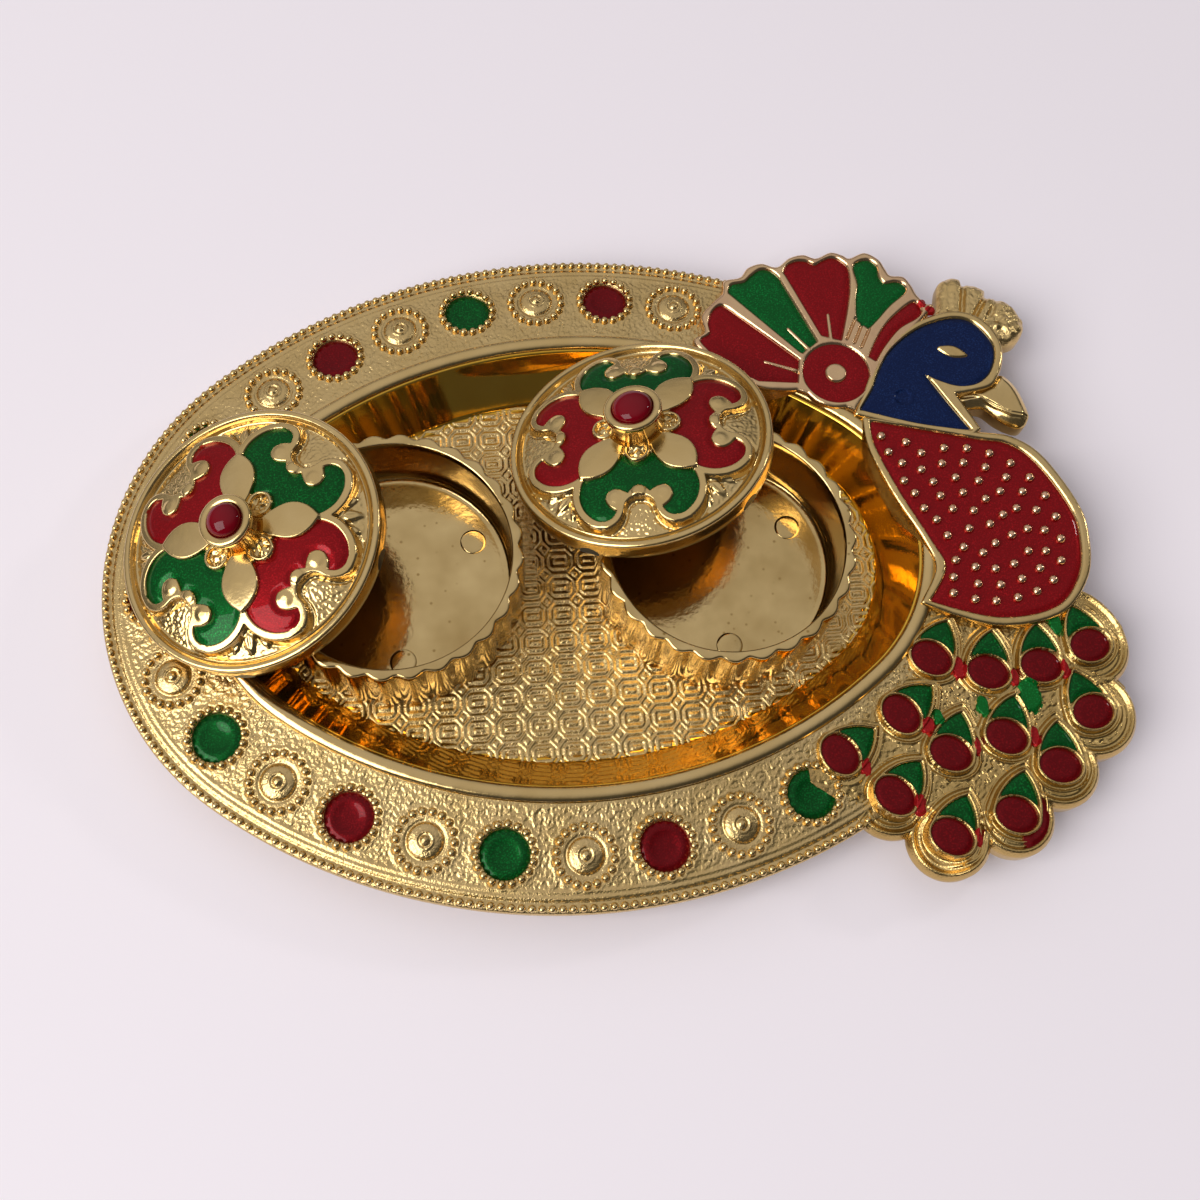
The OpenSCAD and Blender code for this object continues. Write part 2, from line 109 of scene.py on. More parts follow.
def xyz(x, y, z):
    """Points from three coordinates, each spread to the size of the largest."""
    return np.stack(np.broadcast_arrays(x, y, z), -1)


def loft(rings, closed=False):
    """Surface through rings of equal length, each joined to the next. Open ends get a flat face each."""
    index = np.arange(rings.shape[0] * rings.shape[1]).reshape(rings.shape[:2])
    near = index if closed else index[:-1]
    far = np.roll(index, -1, 0) if closed else index[1:]
    faces = [np.stack([near, far, np.roll(far, -1, 1), np.roll(near, -1, 1)], -1).reshape(-1, 4)]
    if not closed:
        faces += [index[:1], index[-1:, ::-1]]
    return rings.reshape(-1, 3), faces


def piece(name, parts, material, node, body="tray", crease=None):
    """One mesh from parts of points in millimetres and faces. A part of negative volume is turned over."""
    points, corners, sizes, count = [], [], [], 0
    for part_points, part_faces in parts:
        shown = [part_points[f] for f in part_faces]
        volume = sum(np.sum(p[:, :1] * np.cross(p[:, 1:-1], p[:, 2:])) for p in shown)
        for f in part_faces:
            corners.append((f if volume > 0 else f[:, ::-1]).ravel() + count)
            sizes.append(np.full(len(f), f.shape[1]))
        points.append(part_points)
        count += len(part_points)
    sizes = np.concatenate(sizes).astype(np.int32)
    mesh = bpy.data.meshes.new(name)
    mesh.vertices.add(count)
    mesh.vertices.foreach_set("co", (np.concatenate(points) * mm).astype(np.float32).ravel())
    mesh.loops.add(int(sizes.sum()))
    mesh.loops.foreach_set("vertex_index", np.concatenate(corners).astype(np.int32))
    mesh.polygons.add(len(sizes))
    mesh.polygons.foreach_set("loop_start", np.cumsum(sizes, dtype=np.int32) - sizes)
    mesh.polygons.foreach_set("use_smooth", np.ones(len(sizes), bool))
    mesh.update(calc_edges=True)
    if crease:
        mesh.set_sharp_from_angle(angle=np.radians(crease))
    mesh.materials.append(material)
    obj = bpy.data.objects.new(name, mesh)
    bpy.context.scene.collection.objects.link(obj)
    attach(obj, body)
    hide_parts(node)


def set_inputs(node, inputs):
    """Gives the inputs of a node their values, or links them to the outputs that feed them."""
    for key, value in inputs.items():
        if isinstance(value, bpy.types.NodeSocket):
            node.id_data.links.new(value, node.inputs[key])
        else:
            node.inputs[key].default_value = value


def add_node(tree, kind, output, inputs, **choices):
    """One output of a new node, whose own choices are made before its inputs are set."""
    node = tree.nodes.new("ShaderNode" + kind)
    for key, choice in choices.items():
        setattr(node, key, choice)
    set_inputs(node, inputs)
    return node.outputs[output]


def new_finish(name, inputs):
    """New material with inputs of its shader set."""
    material = bpy.data.materials.new(name)
    material.use_nodes = True
    set_inputs(material.node_tree.nodes["Principled BSDF"], inputs)
    return material


def two_tones(tree, share, deep, pale, height, depth_mm):
    """Gives a finish its colour, mixed from two tones by a share, and its fine relief from a height."""
    ends = {"Factor": share, "A": (*deep, 1), "B": (*pale, 1)}
    tone = add_node(tree, "Mix", "Result", ends, data_type="RGBA")
    bump = add_node(tree, "Bump", "Normal", {"Height": height, "Distance": depth_mm * mm})
    set_inputs(tree.nodes["Principled BSDF"], {"Base Color": tone, "Normal": bump})


def gold(name, roughness, grain_mm, depth_mm, pale=(0.76, 0.56, 0.26), deep=(0.6, 0.405, 0.145), metal=1,
         pits=False):
    """Gold plate: a metal whose tone drifts between two golds, with a fine grain and, if asked, dark pits."""
    material = new_finish(name, {"Metallic": metal, "Roughness": roughness})
    tree = material.node_tree
    place = add_node(tree, "TexCoord", "Object", {})
    share = add_node(tree, "TexNoise", "Fac", {"Vector": place, "Scale": 1 / (tone_mm * mm)})
    if pits:
        spots = add_node(tree, "TexVoronoi", "Distance", {"Vector": place, "Scale": 1 / (pit_mm * mm)})
        clear = add_node(tree, "MapRange", "Result", {"Value": spots, "From Min": 0.08, "From Max": 0.16})
        share = add_node(tree, "Math", "Value", {0: clear, 1: share}, operation="MULTIPLY")
    fine = add_node(tree, "TexNoise", "Fac", {"Vector": place, "Scale": 1 / (grain_mm * mm), "Detail": 3})
    two_tones(tree, share, deep, pale, fine, depth_mm)
    return material


grained_gold = gold("grained_gold", 0.24, 0.26, 0.075)
bright_gold = gold("bright_gold", 0.19, 1.6, 0.05)

# Row of dots: round seats in the flange, moulded and plated with it. Seven run from the fan along the back,
# three lie under the left lid and ten run along the front. Plain, red, plain and green seats take turns;
# a plain one is a gold boss with a ring and a point on it.
dot_inset, dot_pitch, ring_count = 7.8, 11.2, 18
back_start, front_start = 64.9, 184.0
hidden_pitch = (front_start - back_start - 6 * dot_pitch) / 4
row = np.concatenate([back_start + dot_pitch * np.arange(7),
                      front_start - hidden_pitch * np.arange(3, 0, -1),
                      front_start + dot_pitch * np.arange(10)])
dot_turn = np.interp(row, lengths(dot_inset), full_turn)
dot_x, dot_y = oval(dot_turn, dot_inset)
red_dots, green_dots, plain_dots = np.arange(1, 20, 4), np.arange(3, 20, 4), np.arange(0, 20, 2)
seat_r, seat_d, seat_wall, boss_r, boss_h = 4.8, 0.8, (3.2, 3.65), 2.5, 0.62
seat_ring_h, seat_ring_half, scallop_d, seat_rough = 0.09, 0.34, 0.14, 0.25
seat_clear = seat_r + 0.2, seat_r + 0.5
boss_moat, boss_rings = [(-0.16, boss_r + 0.25, 0.35)], [(0.16, 1.15, 0.22), (-0.14, 0.85, 0.2)]
point_h, point_edge = 0.3, (0.25, 0.75)
lip_drop, lip_round, lip_rings = 0.4, 0.5, [(0.1, 2.95, 0.35), (0.08, 2.15, 0.35), (-0.2, 1.5, 0.4)]
grain_start, grain_stop, flange_grain = (3.1, 3.5), (14.4, 14.8), [(0.095, 0.27), (0.03, 0.7)]


def dome(off, radius):
    """Half ball of unit height over a disc of that radius."""
    return np.sqrt(np.clip(1 - (off / radius) ** 2, 0, 1))


def flange_relief(x, y, inset):
    """Height over the slope: lip, groove and ridges by the inset, seats by the way to the dots, grain."""
    inset = inset + 0 * x
    height = -lip_drop * (1 - np.sqrt(1 - np.clip(1 - inset / lip_round, 0, 1) ** 2))
    height += ridges(inset, lip_rings)
    rough = ease(inset, *grain_start) * (1 - ease(inset, *grain_stop))
    for i in range(len(row)):
        r = np.hypot(x - dot_x[i], y - dot_y[i])
        rough *= seat_rough + (1 - seat_rough) * ease(r, *seat_clear)
        scallop = scallop_d * np.cos(ring_count * (np.arctan2(y - dot_y[i], x - dot_x[i]) - dot_turn[i]))
        height += seat_ring_h * hump(r - scallop, seat_r, seat_ring_half)
        if i in plain_dots:
            height += boss_h * dome(r, boss_r) + ridges(r, boss_moat)
            height += ridges(r, boss_rings) + point_h * (1 - ease(r, *point_edge))
        else:
            height -= seat_d * (1 - ease(r, *seat_wall))
    return height + rough * grains(x, y, flange_grain)


ends = np.linspace(*np.interp([flange_from, flange_to], full_turn, lengths(0)), 3)
flange_in = 15.6
top_inset = np.concatenate([[0, 0.06, 0.2, 0.4], np.linspace(0.65, flange_in, 84)])[None]
under_inset = np.array([[flange_in, 8.0, 0.3, 0.0]])
for name, start, stop in (("tray_flange_back", ends[0], ends[1]), ("tray_flange_front", ends[1], ends[2])):
    path = np.interp(np.linspace(start, stop, 1000), lengths(0), full_turn)[:, None]
    x, y = oval(path, top_inset)
    top = xyz(x, y, flange_height(top_inset) + flange_relief(x, y, top_inset))
    under = xyz(*oval(path, under_inset), flange_height(under_inset) - flange_t)
    piece(name, [loft(np.concatenate([top, under], 1))], grained_gold, "tray", crease=80)

# Beads of the flange: a row of small gold balls along the lip and a ring of them round every dot,
# moulded in one with the flange and plated with it.
lip_bead_r, lip_bead_inset, lip_bead_pitch, lip_bead_rise = 0.57, 0.72, 1.42, 0.12
lip_bead_ends = np.radians([70.5, 296.5])
ring_bead_r, ring_r, ring_bead_rise = 0.6, 4.05, 0.18


def circle(count):
    """Evenly spaced directions of a full turn."""
    return np.linspace(0, 2 * np.pi, count, endpoint=False)


def polar(radius, turn, at=(0, 0)):
    """Plan of a point at a radius and direction from a place."""
    return at[0] + radius * np.cos(turn), at[1] + radius * np.sin(turn)


def balls(places, radius):
    """Balls at the places: each is five rings of ten points between two flat ends."""
    up = np.radians([-60, -25, 10, 40, 65])[:, None]
    points, faces = loft(xyz(*polar(np.cos(up), circle(10)), np.sin(up)))
    first = len(points) * np.arange(len(places))[:, None, None]
    return (places[:, None] + radius * points).reshape(-1, 3), [
        (f + first).reshape(-1, f.shape[1]) for f in faces]


lip_run = lengths(lip_bead_inset)
bead_run = np.arange(*np.interp(lip_bead_ends, full_turn, lip_run), lip_bead_pitch)
lip_beads = xyz(*oval(np.interp(bead_run, lip_run, full_turn), lip_bead_inset),
                flange_height(lip_bead_inset) + lip_bead_rise)
around = circle(ring_count)
x, y = polar(ring_r, around + dot_turn[:, None], (dot_x[:, None], dot_y[:, None]))
ring_beads = xyz(x, y, flange_height(dot_inset - ring_r * np.cos(around)) + ring_bead_rise).reshape(-1, 3)
piece("tray_lip_beads", [balls(lip_beads, lip_bead_r)], bright_gold, "tray")
piece("tray_dot_beads", [balls(ring_beads, ring_bead_r)], bright_gold, "tray")

# Dots of the flange: red and green enamel poured into every second seat. It keeps the flange's slope,
# is low where it meets the gold, swells to a soft ring and is dished in the middle.
fleck_scale, cloud_scale = 4200, 220


def enamel(name, colour, glint):
    """Enamel: a coloured lacquer over bright plate, with a drifting tone, fine flecks and a clear coat."""
    material = new_finish(name, {"Metallic": 0.5, "Roughness": 0.34, "Specular IOR Level": 0.05,
                                 "Coat Weight": 0.2, "Coat Roughness": 0.02})
    tree = material.node_tree
    place = add_node(tree, "TexCoord", "Object", {})
    flecks = add_node(tree, "TexNoise", "Fac", {"Vector": place, "Scale": fleck_scale, "Detail": 2})
    cloud = add_node(tree, "TexNoise", "Fac", {"Vector": place, "Scale": cloud_scale})
    bright = add_node(tree, "MapRange", "Result", {"Value": flecks, "From Min": 0.5, "From Max": 0.8})
    share = add_node(tree, "Math", "Value", {0: bright, 1: cloud}, operation="MULTIPLY")
    two_tones(tree, share, colour, glint, flecks, 0.03)
    return material


red_enamel = enamel("red_enamel", (0.21, 0.002, 0.004), (0.62, 0.012, 0.018))
green_enamel = enamel("green_enamel", (0.001, 0.084, 0.012), (0.003, 0.4, 0.07))
deep_red = enamel("deep_red_enamel", (0.125, 0.001, 0.003), (0.4, 0.006, 0.01))
deep_green = enamel("deep_green_enamel", (0.001, 0.06, 0.008), (0.002, 0.34, 0.05))


def dot_enamel(i):
    """Shallow disc on the flange's slope: rings from its hidden foot over a sunk edge to the middle."""
    radius = np.array([3.5, 3.5, 3.3, 3.0, 2.7, 2.4, 2.1, 1.8, 1.2, 0.3])[:, None]
    rise = np.array([-0.75, -0.5, -0.44, -0.34, -0.27, -0.26, -0.31, -0.39, -0.46, -0.47])[:, None]
    around = circle(48)
    z = flange_height(dot_inset - radius * np.cos(around - dot_turn[i])) + rise
    return loft(xyz(*polar(radius, around, (dot_x[i], dot_y[i])), z))


piece("rim_red_dots", [dot_enamel(i) for i in red_dots], deep_red, "rim_red_enamel")
piece("rim_green_dots", [dot_enamel(i) for i in green_dots], deep_green, "rim_green_enamel")

# The well: a bright round bead runs round its mouth, and its wall slopes down to the floor.
# It is one moulding with the flange. The wall is smooth enough to mirror the cups, and its amber gold is a
# painted reflection: a deeper copy of the plate's gold that stands in for gold mirrored in gold.
bead_in, bead_w, bead_h, bead_foot = 15.0, 2.4, 0.8, 1.2
well_foot, floor_z, column_inset = 22.6, 1.4, 16
well_back_inset, well_back_z = [23.0, 23.8, 23.8, 21.4, 15.1], [floor_z - 0.02, floor_z - 0.1, 0.3, 0.3, 7.7]
ripple_h, ripple_mm, ripple_skew = 0.004, 2.2, 3
# Painted reflection: these amber tones stand in for the gold cups and walls mirrored in the wall.
amber_reflection_gold = gold("amber_reflection_gold", 0.045, 1.6, 0.003, (0.87, 0.54, 0.08), (0.74, 0.4, 0.045), metal=0.96)
arch = np.linspace(0, np.pi, 13)
down = np.linspace(0, 1, 16)
wall_in = bead_in + bead_w
bead_inset = np.append(bead_in + bead_w * (0.5 - 0.5 * np.cos(arch)), [wall_in, bead_in])
bead_z = np.append(flange_z + bead_h * np.sin(arch), [flange_z - bead_foot, flange_z - bead_foot])
well_inset = np.append(wall_in + (well_foot - wall_in) * down, well_back_inset)
well_z = np.append(flange_z + (floor_z + 0.1 - flange_z) * down, well_back_z)
well_run = lengths(column_inset)
well_turn = np.interp(np.linspace(0, well_run[-1], 721)[:-1], well_run, full_turn)[:, None]
well_bead = loft(xyz(*oval(well_turn, bead_inset[None]), bead_z), closed=True)
piece("tray_well_bead", [well_bead], bright_gold, "tray", crease=70)
x, y = oval(well_turn, well_inset[None])
ripple = ripple_h * grain(x + ripple_skew * well_z, y, ripple_mm)
piece("tray_well_wall", [loft(xyz(x, y, well_z + ripple), closed=True)], amber_reflection_gold, "tray")

# The floor of the well: a plate of the tray's own plastic, moulded and plated with it.
# A pattern of nested squares with cut corners covers it, and it is left open under the two cups.
cup_at = np.array([[-27.0, 0.0], [22.2, -1.0]])
cell_x, cell_y, bars, slot, corner = 4.6, 4.35, 2, 0.5, 0.8
floor_lap, cup_hole_r, floor_grain = 0.4, 17.8, [(0.03, 0.5)]
bar_h, bar_sharp, bar_plump = 0.105, 2.6, 0.7
cell_steps, half_columns, half_rows = 24, 251, 171
floor_x = np.arange(-half_columns, half_columns + 1) * cell_x / cell_steps
floor_y = np.arange(-half_rows, half_rows + 1) * cell_y / cell_steps


def oval_inset(x, y):
    """Distance from the oval's edge, positive inside: the arc's radius less the way to its centre."""
    aside = np.abs(x) - end_c
    at_end = np.arctan2(np.abs(y), aside) <= joint
    return np.where(at_end, end_r - np.hypot(aside, y), side_r - np.hypot(x, np.abs(y) + side_c))


def floor_height(x, y):
    """Nested squares with cut corners round a short slot: a cosine of the way to the middle of a cell."""
    u = np.maximum(np.abs(x % cell_x - cell_x / 2) - slot, 0) / (cell_x / 2 - slot)
    v = np.abs(y % cell_y - cell_y / 2) / (cell_y / 2)
    square = np.maximum(np.maximum(u, v), u + v - corner / (cell_x / 2))
    wave = np.tanh(bar_sharp * np.cos(2 * np.pi * bars * square) + bar_plump)
    return floor_z + bar_h * wave + grains(x, y, floor_grain)


def plate(x, y, height, low, kept):
    """Closed plate: top and bottom of a grid's kept cells, and a wall where a neighbour is not kept."""
    index = np.arange(x.size).reshape(x.shape)
    a, b, c, d = index[:-1, :-1], index[1:, :-1], index[1:, 1:], index[:-1, 1:]
    top = np.stack([a, b, c, d], -1)[kept]
    faces = [top, top[:, ::-1] + x.size]
    room = np.pad(kept, 1)
    for sides, lone in (((d, a), room[:-2, 1:-1]), ((b, c), room[2:, 1:-1]),
                        ((a, b), room[1:-1, :-2]), ((c, d), room[1:-1, 2:])):
        edge = kept & ~lone
        p, q = sides[0][edge], sides[1][edge]
        faces.append(np.stack([q, p, p + x.size, q + x.size], -1))
    points = np.concatenate([xyz(x, y, height).reshape(-1, 3), xyz(x, y, low).reshape(-1, 3)])
    used = np.unique(np.concatenate([f.ravel() for f in faces]))
    renumber = np.zeros(len(points), int)
    renumber[used] = np.arange(len(used))
    return points[used], [renumber[f] for f in faces]


for name, rows in (("tray_floor_front", floor_y[:half_rows + 1]), ("tray_floor_back", floor_y[half_rows:])):
    x, y = np.meshgrid(floor_x, rows, indexing="ij")
    middle_x, middle_y = x[:-1, :-1] + cell_x / (2 * cell_steps), y[:-1, :-1] + cell_y / (2 * cell_steps)
    kept = oval_inset(middle_x, middle_y) > well_foot - floor_lap
    for at in cup_at:
        kept &= np.hypot(middle_x - at[0], middle_y - at[1]) > cup_hole_r
    piece(name, [plate(x, y, floor_height(x, y), 0.0, kept)], grained_gold, "tray", crease=80)

# The cups: two fluted gold cups with a smooth bore, moulded and plated like the tray.
# Two pegs under each are fixed in holes of the well's floor, and their ends show in the cup's floor.
cup_r, cup_h, bore_r, flutes, flute_d, cup_floor_z = 19.3, 13.0, 17.5, 28, 0.9, 3.0
foot_z, foot_r, flute_steps, flute_top, flute_round = floor_z + 0.05, 17.5, 12, 1.03, 0.06
cup_wave, wave_start, wave_stop = [(0.03, 3.0)], (0, 15.5), (15.8, 16.5)
cup_turn = np.radians([0, -10])
cup_gold = gold("cup_gold", 0.13, 0.9, 0.03, (0.84, 0.63, 0.29), (0.42, 0.27, 0.09), pits=True)
peg_r, peg_ring_r, peg_angles, peg_low = 2.0, 13.0, np.radians([26, -89]), 0.3
rim_z = floor_z + cup_h


def cup(at, turn):
    """Turned cup: a profile from the foot's middle over the rim to the bore's middle, fluted outside."""
    around = circle(flutes * flute_steps)
    wave = flute_d * (flute_top - np.sqrt(np.sin(0.5 * flutes * around) ** 2 + flute_round))
    up = np.linspace(floor_z + 0.5, rim_z - 0.5, 14)
    profile = [(0.2, foot_z, 0), (foot_r, foot_z, 0), (cup_r - 0.35, foot_z, 1),
               (cup_r - 0.05, floor_z + 0.25, 1)]
    profile += [(cup_r, z, 1) for z in up]
    profile += [(cup_r - 0.06, rim_z - 0.2, 1), (cup_r - 0.25, rim_z - 0.04, 1), (cup_r - 0.5, rim_z, 0.95),
                (18.2, rim_z - 0.02, 0.4), (17.85, rim_z - 0.05, 0.1), (bore_r + 0.12, rim_z - 0.1, 0),
                (bore_r, rim_z - 0.35, 0)]
    profile += [(bore_r, z, 0) for z in np.linspace(rim_z - 1.5, cup_floor_z + 1.2, 8)]
    profile += [(bore_r - 0.1, cup_floor_z + 0.7, 0), (bore_r - 0.4, cup_floor_z + 0.25, 0),
                (bore_r - 0.9, cup_floor_z, 0)]
    profile += [(r, cup_floor_z, 0) for r in np.linspace(16, 0.3, 30)]
    r, z, share = (np.array(p)[:, None] for p in zip(*profile))
    x, y = polar(r - share * wave, around + turn, at)
    on_floor = (z < cup_floor_z + 0.1) * (z > cup_floor_z - 0.1)
    inner = ease(r, *wave_start) * (1 - ease(r, *wave_stop)) * on_floor
    return loft(xyz(x, y, z + inner * grains(x, y, cup_wave)))


def turned(section, count, middle=(0, 0)):
    """Rings of a turned shape: each radius and height of its section is carried round the middle."""
    r, z = np.array(section, float).T[..., None]
    return xyz(*polar(r, circle(count), middle), z)


def peg(at, angle):
    """Round peg from inside the tray's floor up through the cup's foot, where its end shows as a low dome."""
    section = [(peg_r, peg_low), (peg_r, cup_floor_z + 0.04), (0.95 * peg_r, cup_floor_z + 0.12),
               (0.8 * peg_r, cup_floor_z + 0.17), (0.3, cup_floor_z + 0.2)]
    return loft(turned(section, 40, polar(peg_ring_r, angle, at)))


for name, at, turn in zip(("cup_left", "cup_right"), cup_at, cup_turn):
    parts = [cup(at, turn)] + [peg(at, angle) for angle in peg_angles]
    piece(name + "_body", parts, cup_gold, name, crease=70)

# The peacock's fan: a plaque of notched petals spread round a hub, moulded in one with the tray.
# Rounded gold walls stand between cells of red and green enamel, and a short rib runs into most petals.
plaque_z, plaque_low, enamel_z, cell_drop = 10.6, 6.2, 10.3, 1.1
enamel_low = plaque_z - 1.0
hub_at, hub_r, hub_dot_r, hub_wall = np.array([43.7, 27.6]), 5.2, 1.75, 1.1
fan_red_cells = [
    [[26.6, 41], [25.2, 39.7], [24.5, 37.8], [24.5, 36], [22.9, 34.6], [26.4, 30.4], [31.2, 27, 0],
     [37.3, 26.3, 0], [38.1, 30.3, 0], [32.8, 35.6], [28.8, 39.5], [27.8, 40.5]],
    [[38, 46.6], [38.8, 48], [40.4, 48.7], [42, 48.5], [43.3, 47.8], [44.7, 48.5], [46.2, 49], [47.6, 48.3],
     [48.6, 46.4], [47.9, 41.4], [45.4, 33.5, 0], [42.4, 34.6, 0], [38.5, 45.3]],
    [[58.3, 39.8], [59.4, 38.4], [58.6, 37], [55.2, 35.1], [52.4, 32.2], [50.4, 29.4, 0], [49.5, 30.2, 0],
     [51.9, 34.2], [54.6, 37.2]]]
fan_green_cells = [
    [[28.5, 43.4], [29.1, 44.8], [31.2, 45.2], [32.4, 46.2], [34.2, 47.4], [35.8, 47], [36.8, 45.9],
     [37.4, 44.4], [41.5, 33.5, 0], [38.7, 31.5, 0], [29.5, 42.1]],
    [[49.6, 46.8], [50.4, 47.9], [52.2, 48.2], [53.4, 47], [53.4, 45.2], [54.2, 43.7], [56, 43.8],
     [57.3, 43.2], [57.3, 41.8], [54.4, 39.5], [52, 37.1], [50.2, 35.4, 0], [48.6, 37, 0], [49.1, 40.6],
     [49.8, 43.7]]]
fan_outline = [
    [21.6, 34.6], [23.5, 36.4], [23.4, 39.4], [25.8, 42], [27.3, 43.4], [27.9, 45.7], [30.6, 46.3],
    [32.1, 48], [34.5, 48.7], [36.9, 47.9], [39.2, 49.5], [41.6, 50], [43.6, 49.2], [46.2, 50.2],
    [48.2, 49.5], [49.2, 48.9], [51.8, 49.8], [54, 48.4], [54.9, 46.4], [55.5, 45.2], [57.6, 44.8],
    [58.7, 43], [59.2, 41.4], [60.3, 39.6], [61.2, 38.4], [53, 30, 0], [45.8, 20.6, 0], [37, 24.8, 0],
    [31, 25.6], [25.2, 29.6]]
neck_cell = [
    [46.6, 20.9, 0], [49, 24.2], [50.6, 27.4], [52.9, 30.8], [56.4, 33.7], [60.2, 35.6], [64.5, 36.4],
    [67.6, 35.3], [69.7, 32], [69.8, 29.2], [68.3, 26.1], [66, 24.4], [63.2, 24.1], [60.6, 25],
    [58, 26.5, 0], [60.6, 21.4], [63.5, 16.2, 0], [55.2, 18]]
breast_cell = [
    [47.9, 18.8, 0], [47.9, 14.6], [50.5, 6.4], [54, -2], [55.4, -6.6], [52.1, -11.6, 0], [61.8, -14.8],
    [70.8, -13.8], [75.4, -9], [76.9, -2.6], [76.2, 2.6], [72.6, 10], [68.8, 13.4], [63.6, 14.7]]
fan_edge_r, cell_edge, border_grain = 0.8, (-0.35, 0.5), [(0.012, 0.8)]
fill_sink, fill_edge = 0.22, (-0.1, 0.9)
rib_low, rib_fall, rib_d, rib_side, fan_groove = 0.08, 0.12, 0.9, (0.1, 0.75), (0.35, 0, 0.35)
fan_ribs = [[37.3, 28.4, 32.6, 30.3], [39.8, 32.3, 37.1, 36.1], [43.8, 33.8, 44.0, 38.3]]
fan_grooves = [[46.4, 33.6, 48.3, 37.2], [47.5, 32.8, 49.4, 36.4], [48.5, 31.9, 50.3, 35.2]]


def smooth_loop(points, steps=8):
    """Closed curve through its points: cubics with slopes from the neighbours, or none at a sharp corner."""
    p = np.array([q[:2] for q in points], float)
    rounded = np.array([len(q) == 2 for q in points])[:, None]
    slope = 0.5 * rounded * (np.roll(p, -1, 0) - np.roll(p, 1, 0))
    q, after = np.roll(p, -1, 0), np.roll(slope, -1, 0)
    t = (np.arange(steps) / steps)[None, :, None]
    p, q, slope, after = (a[:, None] for a in (p, q, slope, after))
    curve = ((2 * t**3 - 3 * t**2 + 1) * p + (t**3 - 2 * t**2 + t) * slope
             + (3 * t**2 - 2 * t**3) * q + (t**3 - t**2) * after)
    return curve.reshape(-1, 2)


def depth(x, y, outline):
    """Distance to a closed outline, positive inside: nearest point of any side, and a count of crossings."""
    nearest = np.full(np.shape(x), np.inf)
    inside = np.zeros(np.shape(x), bool)
    for (ax, ay), (bx, by) in zip(outline, np.roll(outline, -1, 0)):
        ux, uy = bx - ax, by - ay
        t = np.clip(((x - ax) * ux + (y - ay) * uy) / (ux * ux + uy * uy + 1e-12), 0, 1)
        nearest = np.minimum(nearest, (x - ax - t * ux) ** 2 + (y - ay - t * uy) ** 2)
        inside ^= ((ay > y) != (by > y)) & (x < ax + (y - ay) * ux / (uy if uy else 1))
    return np.where(inside, 1, -1) * np.sqrt(nearest)


def reach_to(centre, outline, count):
    """Distance from a centre to an outline that is seen whole from it, in evenly spaced directions."""
    away = outline - centre
    return np.interp(circle(count), np.arctan2(away[:, 1], away[:, 0]), np.hypot(*away.T), period=2 * np.pi)


def relief(centre, reach, height, low, rows):
    """Closed body on spokes from a centre: flat underneath, its top at height(x, y)."""
    share = (1 - (1 - np.linspace(0.01, 1, rows)) ** 1.2)[:, None]
    x, y = polar(share * reach, circle(len(reach)), centre)
    top = xyz(x, y, height(x, y))
    foot = top[[0, -1]].copy()
    foot[..., 2] = low
    return loft(np.concatenate([foot, top[::-1]]))


def rounded_edge(inside, radius):
    """Drop of a rounded edge: a quarter circle from the outline inward."""
    return radius - np.sqrt(radius**2 - np.clip(radius - inside, 0, radius) ** 2)


def segment(x, y, ax, ay, bx, by):
    """Distance to a straight line between two points, and the share of the way along it."""
    ux, uy = bx - ax, by - ay
    t = np.clip(((x - ax) * ux + (y - ay) * uy) / (ux * ux + uy * uy), 0, 1)
    return np.hypot(x - ax - t * ux, y - ay - t * uy), t


def filled(near, far, inside, low, top, step=0.22):
    """Enamel between two corners: a plate of small squares that ends in the walls and sinks toward them."""
    x, y = np.meshgrid(np.arange(near[0], far[0], step), np.arange(near[1], far[1], step), indexing="ij")
    d = inside(x, y)
    middle = 0.25 * (d[:-1, :-1] + d[1:, :-1] + d[:-1, 1:] + d[1:, 1:])
    return plate(x, y, top - fill_sink * (1 - ease(d, *fill_edge)), low, middle > -step)


def poured(outline, low, top):
    """Enamel in the cell that an outline bounds."""
    return filled(outline.min(0) - 0.5, outline.max(0) + 0.5, lambda x, y: depth(x, y, outline), low, top)


fan_loop = smooth_loop(fan_outline, 10)
red_loops, green_loops = [smooth_loop(c) for c in fan_red_cells], [smooth_loop(c) for c in fan_green_cells]
neck_loop, breast_cell_loop = smooth_loop(neck_cell), smooth_loop(breast_cell)
cells = red_loops + green_loops + [neck_loop, breast_cell_loop]


def in_cells(x, y):
    """Distance inside the nearest cell of fan, neck or breast."""
    return np.max([depth(x, y, outline) for outline in cells], 0)


def wall_tops(cell):
    """Height of the walls' flat tops, eased down into a cell by the distance inside it."""
    return plaque_z - cell_drop * ease(cell, *cell_edge)


def edged(z, x, y, inside, edge_r):
    """A plaque's height with its outer edge rounded off and a faint grain put on."""
    return z - rounded_edge(inside, edge_r) + grains(x, y, border_grain)


def fan_height(x, y):
    """Wall tops with dips over the cells and the hub's ring, ribs in the petals, and grooves by the hub."""
    r = np.hypot(x - hub_at[0], y - hub_at[1])
    z = wall_tops(np.maximum(in_cells(x, y), np.minimum(hub_r - r, r - hub_dot_r)))
    for rib in fan_ribs:
        off, along = segment(x, y, *rib)
        z = np.maximum(z, plaque_z - rib_low - rib_fall * along - rib_d * ease(off, *rib_side))
    for groove in fan_grooves:
        z = z - ridges(segment(x, y, *groove)[0], [fan_groove])
    return edged(z, x, y, np.maximum(depth(x, y, fan_loop), hub_r + hub_wall - r), fan_edge_r)


